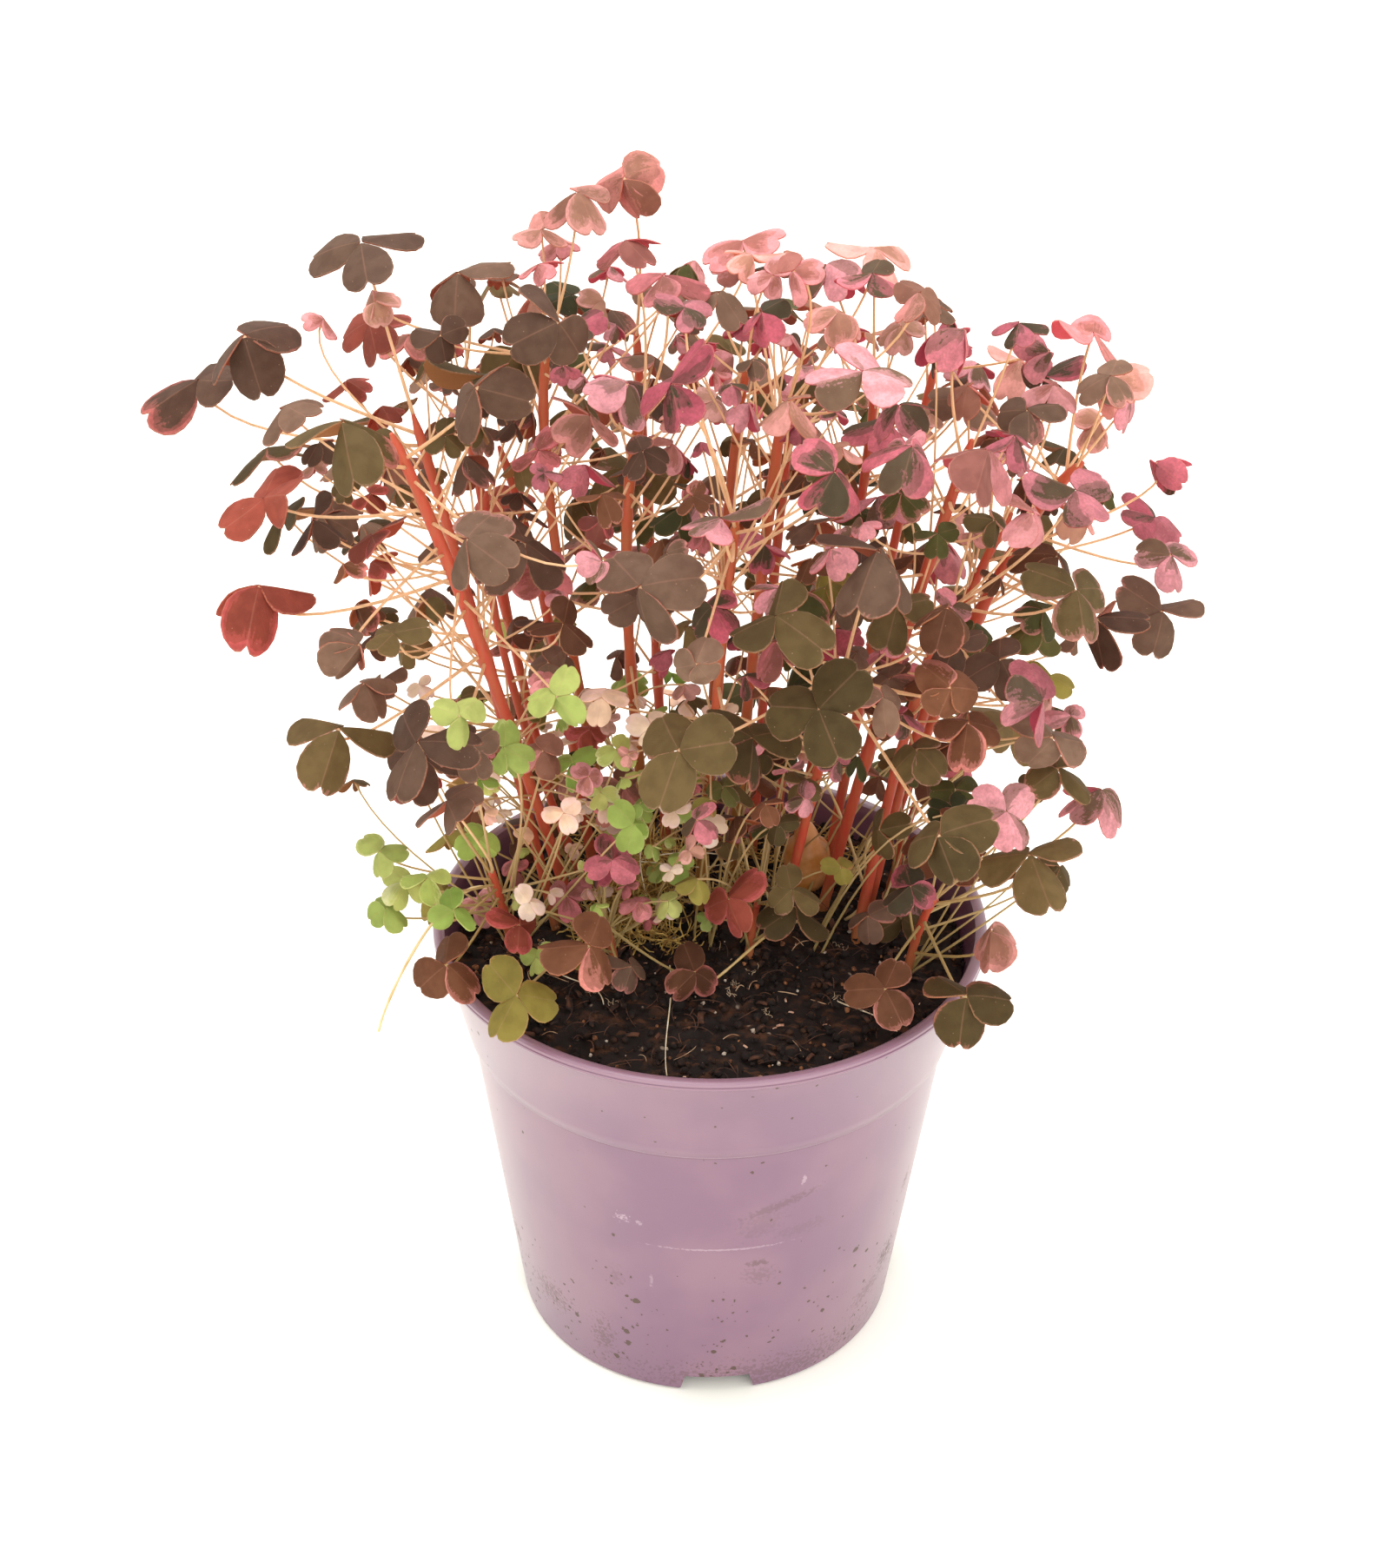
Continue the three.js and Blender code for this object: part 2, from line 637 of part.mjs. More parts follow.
// Three-sided rings from the underside of the hub down to the root inside the stem.
function addPetiole(leaf, corners, hub, face) {
  const curve = petioleCurve(leaf);
  const ways = corners.map((corner) => corner.clone());
  let upper = hub.map((corner) => corner.bottom);
  let heading = leaf.normal.clone().negate();
  for (const share of PETIOLE_JOINTS) {
    const centre = curve.getPoint(share);
    const next = curve.getTangent(share);
    const turn = new THREE.Quaternion().setFromUnitVectors(heading, next);
    ways.forEach((way) => way.applyQuaternion(turn));
    heading = next;
    const lower = ways.map((way) => centre.clone().addScaledVector(way, PETIOLE.radius));
    for (let i = 0; i < 3; i += 1) {
      const j = (i + 1) % 3;
      face(upper[i], lower[i], lower[j]);
      face(upper[i], lower[j], upper[j]);
    }
    upper = lower;
  }
  face(upper[2], upper[1], upper[0]);
}

// The plant's growth

function makeStem([name, foot, middle, tip, radius, look, quota]) {
  const start = new THREE.Vector3(foot[0], foot[1], soilHeight(...foot) - STEM.sunk);
  const end = new THREE.Vector3(...tip);
  const pull = new THREE.Vector3(...middle).multiplyScalar(2).addScaledVector(start, -0.5).addScaledVector(end, -0.5);
  const curve = new THREE.QuadraticBezierCurve3(start, pull, end);
  return { name, radius, look, quota, curve, leaves: [] };
}

function aroundPot(degrees, radius) {
  return [radius * Math.cos(degrees * DEGREE), radius * Math.sin(degrees * DEGREE)];
}

function allStems() {
  const rows = [...STEMS];
  for (let i = 0; i < FAR_STEMS.count; i += 1) {
    const degrees = FAR_STEMS.firstDegrees + i * FAR_STEMS.stepDegrees;
    rows.push([
      "stem_far_" + (i + 1),
      aroundPot(degrees, FAR_STEMS.foot),
      [...aroundPot(degrees, FAR_STEMS.middle), FAR_STEMS.middleHeight],
      [...aroundPot(degrees, FAR_STEMS.tip), FAR_STEMS.tipHeights[i % 2]],
      FAR_STEMS.radius,
      FAR_STEMS.looks[i % 3],
      FAR_STEMS.leaves,
    ]);
  }
  for (let i = 0; i < FAR_SHOOTS.count; i += 1) {
    const degrees = FAR_SHOOTS.firstDegrees + i * FAR_SHOOTS.stepDegrees;
    rows.push([
      "shoot_far_" + (i + 1),
      aroundPot(degrees, FAR_SHOOTS.foot),
      [...aroundPot(degrees, (FAR_SHOOTS.foot + FAR_SHOOTS.tip) / 2), FAR_SHOOTS.middleHeight],
      [...aroundPot(degrees, FAR_SHOOTS.tip), FAR_SHOOTS.tipHeight],
      FAR_SHOOTS.radius,
      FAR_SHOOTS.look,
      FAR_SHOOTS.leaves,
    ]);
  }
  return rows.map(makeStem);
}

function stemBalls(stem) {
  const balls = [];
  const count = Math.ceil(stem.curve.getLength() / 2);
  for (let i = 0; i <= count; i += 1) {
    const { x, y, z } = stem.curve.getPoint(i / count);
    balls.push({ x, y, z, r: stem.radius, owner: stem.name });
  }
  return balls;
}

// The roots that suit a hub, the best first: near, below it and on the leaf's underside.
function rootsFor(hub, normal, stems) {
  const roots = [];
  for (const stem of stems) {
    for (let i = 0; i < ROOTS.count; i += 1) {
      const share = HIGHEST_ROOT - i * ROOTS.step;
      const point = stem.curve.getPoint(share);
      const way = hub.clone().sub(point);
      const reach = way.length();
      const under = way.dot(normal) / reach;
      const isNear = reach > ROOTS.nearest && reach < ROOTS.farthest;
      if (isNear && under > ROOTS.leastUnder && way.z > -ROOTS.mostAbove * reach) {
        const cost = Math.abs(reach - ROOTS.ideal) + ROOTS.underCost * (1 - under) + ROOTS.lowCost * (1 - share);
        roots.push({ stem, point, cost });
      }
    }
  }
  return roots.sort((a, b) => a.cost - b.cost).slice(0, ROOTS.kept);
}

function settle(leaf, stem, root, crowd) {
  leaf.root = root;
  leaf.owner = stem.name;
  const balls = [...leafBalls(leaf), ...petioleBalls(leaf)];
  if (balls.some(hitsPot) || !crowd.isClear(balls, root)) return false;
  crowd.add(balls);
  stem.leaves.push(leaf);
  return true;
}

function placeSeenLeaf([look, at, azimuth, elevation, spin, length, droop], stems, crowd) {
  const first = new THREE.Vector3(...at);
  const sight = first.clone().sub(EYE).normalize();
  const normal = facing(azimuth, elevation);
  for (const slide of SLIDES) {
    const hub = first.clone().addScaledVector(sight, slide);
    const leaf = makeLeaf(look, hub, normal, spin, length, droop);
    for (const { stem, point } of rootsFor(hub, normal, stems)) {
      if (settle(leaf, stem, point, crowd)) return leaf;
    }
  }
  return null;
}

function isInRoom(hub) {
  const [x, y, z] = ["x", "y", "z"].map((axis, i) => (hub[axis] - ROOM.centre[i]) / ROOM.reach[i]);
  return hub.z > ROOM.lowest && x * x + y * y + z * z < 1;
}

// True if a leaf would stand in front of one of the leaves placed by hand.
function hidesOne(leaf, seen) {
  const sight = leaf.hub.clone().sub(EYE);
  const distance = sight.length();
  return seen.some((other) => {
    const otherSight = other.hub.clone().sub(EYE);
    if (distance > otherSight.length() + HIDING.behind) return false;
    return sight.angleTo(otherSight) * distance < HIDING.spread * (leaf.length + other.length);
  });
}

function growLeaf(stem, number, draw, seen, crowd) {
  for (let i = 0; i < GROWTH.tries; i += 1) {
    const share = HIGHEST_ROOT - GROWTH.topShare * draw.next() ** GROWTH.topPower;
    const root = stem.curve.getPoint(share);
    const turn = number * GOLDEN_ANGLE + (i * 2 * Math.PI) / GROWTH.turns + draw.next();
    const rise = draw.between(GROWTH.rise) * DEGREE;
    const reach = draw.between(GROWTH.petiole);
    const out = new THREE.Vector3(Math.cos(turn), Math.sin(turn), 0);
    const hub = root.clone().addScaledVector(out, reach * Math.cos(rise));
    hub.z += reach * Math.sin(rise);
    const normal = out.clone().multiplyScalar(draw.between(GROWTH.lean));
    normal.add(new THREE.Vector3(draw.between(GROWTH.swayX), draw.between(GROWTH.swayY), 1)).normalize();
    const spin = draw.between(GROWTH.spin);
    const length = draw.between(GROWTH.length);
    const droop = draw.between(GROWTH.droop);
    const leaf = makeLeaf(stem.look, hub, normal, spin, length, droop);
    if (isInRoom(hub) && !hidesOne(leaf, seen) && settle(leaf, stem, root, crowd)) return leaf;
  }
  return null;
}

function growPlant() {
  const stems = allStems();
  const crowd = new Crowd();
  stems.forEach((stem) => crowd.add(stemBalls(stem)));
  const seen = SEEN_LEAVES.map((row) => placeSeenLeaf(row, stems, crowd)).filter((leaf) => leaf);
  const draw = new Draw(GROWTH.seed);
  const most = Math.max(...stems.map((stem) => stem.quota));
  for (let number = 0; number < most; number += 1) {
    for (const stem of stems) {
      if (number < stem.quota) growLeaf(stem, number, draw, seen, crowd);
    }
  }
  return stems;
}

function stemSolid(stem) {
  const taper = (share) => 1 - (1 - STEM.tipShare) * share;
  const steps = stem.curve.getLength() < STEM.shortUnder ? STEM.shortSteps : STEM.steps;
  const bar = barGeometry(stem.curve, stem.radius, STEM.sides, steps, taper);
  return wasm.Manifold.union([solidOf(bar), ...stem.leaves.map((leaf) => solidOf(leafGeometry(leaf)))]);
}

// The look that most of a stem's leaves share.
function mainLook(stem) {
  const counts = {};
  for (const { look } of stem.leaves) counts[look] = (counts[look] ?? 0) + 1;
  return Object.keys(counts).reduce((best, look) => (counts[look] > counts[best] ? look : best));
}

// The whole object, with its bounding box centred on the origin

const stems = growPlant();
const plant = new THREE.Group();
for (const stem of stems) plant.add(meshOf(stem.name, stemSolid(stem), COLOURS[mainLook(stem)], 0.6));

const whole = new THREE.Group();
whole.add(meshOf("pot", potSolid(), COLOURS.pot, 0.55), meshOf("soil", soilSolid(stems), COLOURS.soil, 0.95), plant);

const box = new THREE.Box3().setFromObject(whole, true);
const middle = box.getCenter(new THREE.Vector3());
whole.position.set(-middle.x, -middle.y, 0);

const root = new THREE.Group();
root.add(whole);

export default root;
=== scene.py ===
"""Potted volcanic sorrel: the fine pot, peat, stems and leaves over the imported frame.

Lengths are in millimetres in the plant's own space, where the pot's axis is at x = y = 0, until a mesh is
placed. PlantSpace then turns them into the frame's metres.
"""

import json
import logging
import math
from collections.abc import Iterable, Iterator, Sequence
from contextlib import contextmanager
from dataclasses import dataclass, field
from enum import Enum
from itertools import pairwise
from typing import Any

import bmesh
import bpy
import numpy as np
from mathutils import Matrix, Vector, noise

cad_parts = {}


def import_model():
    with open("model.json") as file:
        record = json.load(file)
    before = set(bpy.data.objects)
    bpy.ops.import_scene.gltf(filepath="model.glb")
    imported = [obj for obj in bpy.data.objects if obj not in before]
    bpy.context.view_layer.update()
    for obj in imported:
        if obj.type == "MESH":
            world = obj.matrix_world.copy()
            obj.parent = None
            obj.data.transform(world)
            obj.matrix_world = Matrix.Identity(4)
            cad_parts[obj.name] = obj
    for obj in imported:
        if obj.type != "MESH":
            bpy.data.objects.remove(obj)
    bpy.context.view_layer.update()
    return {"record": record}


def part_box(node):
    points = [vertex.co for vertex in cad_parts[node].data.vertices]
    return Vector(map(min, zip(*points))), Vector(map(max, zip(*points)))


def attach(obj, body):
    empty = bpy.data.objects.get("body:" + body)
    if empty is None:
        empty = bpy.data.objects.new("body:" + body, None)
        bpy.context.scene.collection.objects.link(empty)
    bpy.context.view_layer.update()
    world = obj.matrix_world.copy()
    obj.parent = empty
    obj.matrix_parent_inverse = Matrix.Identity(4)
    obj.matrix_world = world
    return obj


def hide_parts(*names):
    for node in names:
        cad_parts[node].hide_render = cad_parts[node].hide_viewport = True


LOG = logging.getLogger("volcanic_sorrel")
GOLDEN_ANGLE = math.radians(137.5)
MILLIMETRES = 1000.0

Piece = bpy.types.Object
Tree = bpy.types.NodeTree
Material = bpy.types.Material
Span = tuple[float, float]
Row = tuple[Any, ...]
Ball = tuple[float, float, float, float, str]


# Working in Blender


def deselect_all() -> None:
    """Leaves edit mode and deselects every object."""
    active = bpy.context.view_layer.objects.active
    if active and active.mode != "OBJECT":
        bpy.ops.object.mode_set(mode="OBJECT")
    bpy.ops.object.select_all(action="DESELECT")


def pick(*pieces: Piece) -> None:
    """Selects these objects alone and makes the first one active.

    Args:
        *pieces: The objects.
    """
    deselect_all()
    for piece in pieces:
        piece.select_set(True)
    bpy.context.view_layer.objects.active = pieces[0]


@contextmanager
def editing(piece: Piece) -> Iterator[None]:
    """Opens a piece in edit mode with nothing selected, and leaves edit mode afterwards.

    Args:
        piece: The mesh object to edit.

    Yields:
        Nothing.
    """
    pick(piece)
    bpy.ops.object.mode_set(mode="EDIT")
    bpy.ops.mesh.select_mode(type="VERT")
    bpy.ops.mesh.select_all(action="DESELECT")
    yield
    bpy.ops.object.mode_set(mode="OBJECT")


def select_vertices(piece: Piece, wanted: Sequence[bool] | np.ndarray) -> None:
    """Selects these vertices alone in edit mode.

    Args:
        piece: The object in edit mode.
        wanted: For each vertex, whether it is selected.
    """
    mesh = bmesh.from_edit_mesh(piece.data)
    for vertex, is_wanted in zip(mesh.verts, wanted):
        vertex.select_set(bool(is_wanted))
    mesh.select_flush_mode()
    bmesh.update_edit_mesh(piece.data)


def places_of(piece: Piece) -> np.ndarray:
    """Reads the places of a mesh object's vertices.

    Args:
        piece: The object.

    Returns:
        One place a row.
    """
    places = np.empty(len(piece.data.vertices) * 3)
    piece.data.vertices.foreach_get("co", places)
    return places.reshape(-1, 3)


def put_vertices(piece: Piece, places: np.ndarray) -> None:
    """Moves a mesh object's vertices to these places."""
    piece.data.vertices.foreach_set("co", places.astype(np.float32).ravel())
    piece.data.update()


def finish_modifier(piece: Piece, kind: str, **settings: Any) -> None:
    """Adds a modifier with its settings and applies it.

    Args:
        piece: The object that gets the modifier.
        kind: The modifier's type.
        **settings: The modifier's own values.
    """
    pick(piece)
    modifier = piece.modifiers.new(kind.lower(), kind)
    for name, value in settings.items():
        setattr(modifier, name, value)
    bpy.ops.object.modifier_apply(modifier=modifier.name)


def copy_of(piece: Piece) -> Piece:
    """Copies a piece with a mesh of its own.

    Args:
        piece: The piece.

    Returns:
        The copy.
    """
    copy = piece.copy()
    copy.data = piece.data.copy()
    bpy.context.collection.objects.link(copy)
    return copy


def joined(pieces: Sequence[Piece], name: str) -> Piece:
    """Joins mesh objects into one.

    Args:
        pieces: The objects, which all end in the first one.
        name: The joined object's name.

    Returns:
        The joined object.
    """
    pick(*pieces)
    if len(pieces) > 1:
        bpy.ops.object.join()
    pieces[0].name = name
    pieces[0].data.name = name
    return pieces[0]


def remove(piece: Piece) -> None:
    """Takes a pattern or a cutter out of the scene again."""
    bpy.data.objects.remove(piece, do_unlink=True)


def shade_by_angle(piece: Piece, degrees: float) -> None:
    """Shades a piece smooth but for edges sharper than the angle."""
    pick(piece)
    bpy.ops.object.shade_smooth_by_angle(angle=math.radians(degrees))


def face_outwards(piece: Piece) -> None:
    """Merges a closed mesh's double vertices and turns its faces outwards.

    Args:
        piece: The mesh object.
    """
    with editing(piece):
        bpy.ops.mesh.select_all(action="SELECT")
        bpy.ops.mesh.remove_doubles(threshold=1e-7)
        bpy.ops.mesh.normals_make_consistent(inside=False)


def hand_in(piece: Piece, slot: str, *nodes: str) -> None:
    """Lets a piece ride on the body, hides the nodes that it stands for and reports it.

    Args:
        piece: The finished piece.
        slot: The record's material slot; not used.
        *nodes: The CAD nodes that the piece replaces.
    """
    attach(piece, "root")
    if nodes:
        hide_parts(*nodes)
    LOG.info("%s: %d faces", piece.name, len(piece.data.polygons))


# Colours and nodes

# What makes a Map Range node ease in and out
SOFT_STEP = {"interpolation_type": "SMOOTHSTEP"}


def linear(colour: str) -> tuple[float, float, float, float]:
    """Turns an sRGB hex colour into linear red, green, blue and alpha.

    Args:
        colour: Six hex digits after a hash sign.

    Returns:
        The linear colour with an alpha of 1.
    """
    shares = [int(colour[place : place + 2], 16) / 255 for place in (1, 3, 5)]
    curved = [share / 12.92 if share <= 0.04045 else ((share + 0.055) / 1.055) ** 2.4 for share in shares]
    return curved[0], curved[1], curved[2], 1.0


def add_node(tree: Tree, kind: str, inputs: dict[Any, Any] | None = None, **settings: Any) -> Any:
    """Adds a shader node with its settings and links.

    Args:
        tree: The material's node tree.
        kind: The node's type without its ShaderNode prefix.
        inputs: For each input's name or number, a value to set, an output to link, or a node whose first
            output is linked.
        **settings: The node's own values, such as operation.

    Returns:
        The new node.
    """
    node = tree.nodes.new("ShaderNode" + kind)
    for name, value in settings.items():
        setattr(node, name, value)
    for key, value in (inputs or {}).items():
        if isinstance(value, bpy.types.Node):
            value = next(output for output in value.outputs if output.enabled)
        if isinstance(value, bpy.types.NodeSocket):
            tree.links.new(value, node.inputs[key])
        else:
            node.inputs[key].default_value = value
    return node


def new_material(name: str) -> tuple[Material, Tree]:
    """Adds a material.

    Args:
        name: Its name.

    Returns:
        The material, and its empty node tree.
    """
    material = bpy.data.materials.new(name)
    material.use_nodes = True
    material.node_tree.nodes.clear()
    return material, material.node_tree


def layered(tree: Tree, colour: Any, *layers: Row) -> Any:
    """Lays colours over a colour, one after the other.

    Args:
        tree: The material's node tree.
        colour: The lowest colour.
        *layers: For each, the share that it covers, its strength, the colour, and how it blends if not as
            paint does.

    Returns:
        The colour with all layers on it.
    """
    for share, strength, layer, *kind in layers:
        cover = add_node(tree, "Math", {0: share, 1: strength}, operation="MULTIPLY")
        settings = {"data_type": "RGBA", "blend_type": kind[0] if kind else "MIX"}
        colour = add_node(tree, "Mix", {0: cover, 6: colour, 7: layer}, **settings)
    return colour


def let_light_through(tree: Tree, inputs: dict[str, Any], glow: Any, through: float) -> None:
    """Makes a skin that lets light through the material's surface.

    Args:
        tree: The material's node tree.
        inputs: The skin's own inputs.
        glow: The colour of the light that comes through.
        through: Its share.
    """
    skin = add_node(tree, "BsdfPrincipled", inputs)
    lit = add_node(tree, "BsdfTranslucent", {0: glow})
    both = add_node(tree, "MixShader", {0: through, 1: skin, 2: lit})
    add_node(tree, "OutputMaterial", {0: both})


# The plant's space and its random draws


@dataclass(frozen=True)
class PlantSpace:
    """The plant's millimetres, with the pot's axis at x = y = 0, and the way to the frame's metres.

    Attributes:
        axis_x: The pot's axis in the frame, in millimetres.
        axis_y: The same along Y.
    """

    axis_x: float
    axis_y: float

    @classmethod
    def of_pot(cls) -> "PlantSpace":
        """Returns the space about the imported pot."""
        low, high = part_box("pot")
        return cls((low[0] + high[0]) / 2 * MILLIMETRES, (low[1] + high[1]) / 2 * MILLIMETRES)

    def metres(self, points: np.ndarray) -> np.ndarray:
        """Returns points of the plant, one a row, in the frame's metres."""
        return (points + np.array([self.axis_x, self.axis_y, 0.0])) / MILLIMETRES

    def spot(self, x: float, y: float, z: float) -> tuple[float, float, float]:
        """Returns one point of the plant in the frame's metres."""
        return (self.axis_x + x) / MILLIMETRES, (self.axis_y + y) / MILLIMETRES, z / MILLIMETRES


@dataclass
class Draw:
    """Repeatable random draws, the same as the part's own.

    Attributes:
        state: The seed, and then the last number drawn.
    """

    state: int

    def next(self) -> float:
        """Returns a number from 0 to 1."""
        self.state = self.state * 16807 % 2147483647
        return self.state / 2147483647

    def between(self, low: float, high: float) -> float:
        """Returns a number between two others."""
        return low + (high - low) * self.next()

    def among(self, weights: dict[Any, float]) -> Any:
        """Draws one of some keys.

        Args:
            weights: How likely each key is.

        Returns:
            The key.
        """
        left = self.next() * sum(weights.values())
        for key, weight in weights.items():
            left -= weight
            if left <= 0:
                return key
        return next(iter(weights))


# The forms that the part's solids have, in their own millimetres


class PotForm:
    """The pot's outline, as the part has it."""

    height = 100.0
    lip_radius = 60.0
    lip_depth = 2.2
    collar_top_radius = 58.6
    collar_foot_radius = 53.6
    collar_foot_height = 75.6
    step_in = 0.9
    foot_radius = 43.0
    foot_ring_width = 2.2
    floor_height = 3.0
    floor_thickness = 1.6
    wall = 1.2

    @classmethod
    def outer(cls, height: float) -> float:
        """Tells how wide the outer wall is.

        Args:
            height: The height above the ground.

        Returns:
            Its radius there.
        """
        if height < cls.collar_foot_height:
            share = height / cls.collar_foot_height
            return cls.foot_radius + share * (cls.collar_foot_radius - cls.step_in - cls.foot_radius)
        share = (height - cls.collar_foot_height) / (cls.height - cls.lip_depth - cls.collar_foot_height)
        return cls.collar_foot_radius + share * (cls.collar_top_radius - cls.collar_foot_radius)

    @classmethod
    def inner(cls, height: float) -> float:
        """Tells how wide the inner wall is.

        Args:
            height: The height above the ground.

        Returns:
            Its radius there.
        """
        if height < cls.collar_foot_height:
            return cls.outer(height) - cls.wall
        share = (height - cls.collar_foot_height) / (cls.height - cls.collar_foot_height)
        return cls.collar_foot_radius - cls.wall + share * (cls.collar_top_radius - cls.collar_foot_radius)


def soil_height(x: float, y: float) -> float:
    """Tells how high the smooth mound of peat is at a place.

    Args:
        x: The place, in millimetres from the pot's axis.
        y: The same along Y.

    Returns:
        The height.
    """
    top, mound, edge = 92.0, 2.4, 54.0
    reach = math.hypot(x, y) / edge
    ripple = 0.5 * math.sin(x / 7) * math.cos(y / 6 + 1)
    return top + mound * max(0.0, 1 - reach * reach) + ripple * max(0.0, 1 - reach)


def around_axis(degrees: float, radius: float) -> Span:
    """Returns x and y of a place round the pot's axis."""
    return radius * math.cos(math.radians(degrees)), radius * math.sin(math.radians(degrees))


class Look(Enum):
    """The colourings of a leaf."""

    PLUM = "plum"
    OLIVE = "olive"
    GREEN = "green"
    BROWN = "brown"
    GOLDEN = "golden"
    LIME = "lime"
    RED = "red"
    DUSTY = "dusty"
    ROSE = "rose"
    PEACH = "peach"
    PINK = "pink"
    PALE = "pale"


# Stems: name, foot in the soil, the point passed halfway, tip, radius at the soil, the leaves that the
# growth rule adds.
STEMS: list[Row] = [
    ("stem_left", (-28, 6), (-46, -6, 165), (-61, -14, 217), 2.1, 2),
    ("stem_left_rear", (-25, 17), (-43, 12, 152), (-47, 20, 190), 1.4, 2),
    ("stem_tall_left", (-20, 26), (-33, 18, 179), (-33, 16, 224), 1.7, 1),
    ("stem_middle", (-12, 20), (-18, 12, 170), (-14, 6, 214), 1.8, 1),
    ("stem_centre", (-3, 9), (1, -5, 158), (4, -14, 200), 1.6, 1),
    ("stem_centre_rear", (4, 24), (10, 8, 182), (13, 0, 217), 1.8, 1),
    ("stem_right", (24, 13), (36, 5, 152), (49, -4, 213), 2.3, 2),
    ("stem_right_outer", (36, 27), (55, 14, 166), (72, 4, 205), 1.8, 2),
    ("stem_right_low", (31, 0), (41, 0, 150), (48, -8, 180), 1.7, 1),
    ("stem_amber", (14, 3), (22, -6, 140), (26, -18, 172), 1.6, 1),
    ("stem_top", (-2, 36), (2, 24, 176), (6, 14, 220), 1.5, 2),
    ("stem_top_left", (-32, 34), (-48, 32, 174), (-51, 28, 214), 1.6, 3),
    ("stem_top_right", (18, 38), (28, 32, 159), (32, 26, 212), 1.6, 3),
    ("shoot_left", (-42, -4), (-44, -8, 105), (-46, -12, 118), 1.5, 1),
    ("shoot_left_front", (-20, -10), (-21, -12, 100), (-23, -13, 107), 1.4, 1),
    ("shoot_front", (8, -8), (9, -9, 101), (10, -11, 110), 1.4, 1),
    ("shoot_right", (42, -10), (44, -13, 104), (47, -17, 116), 1.5, 1),
]

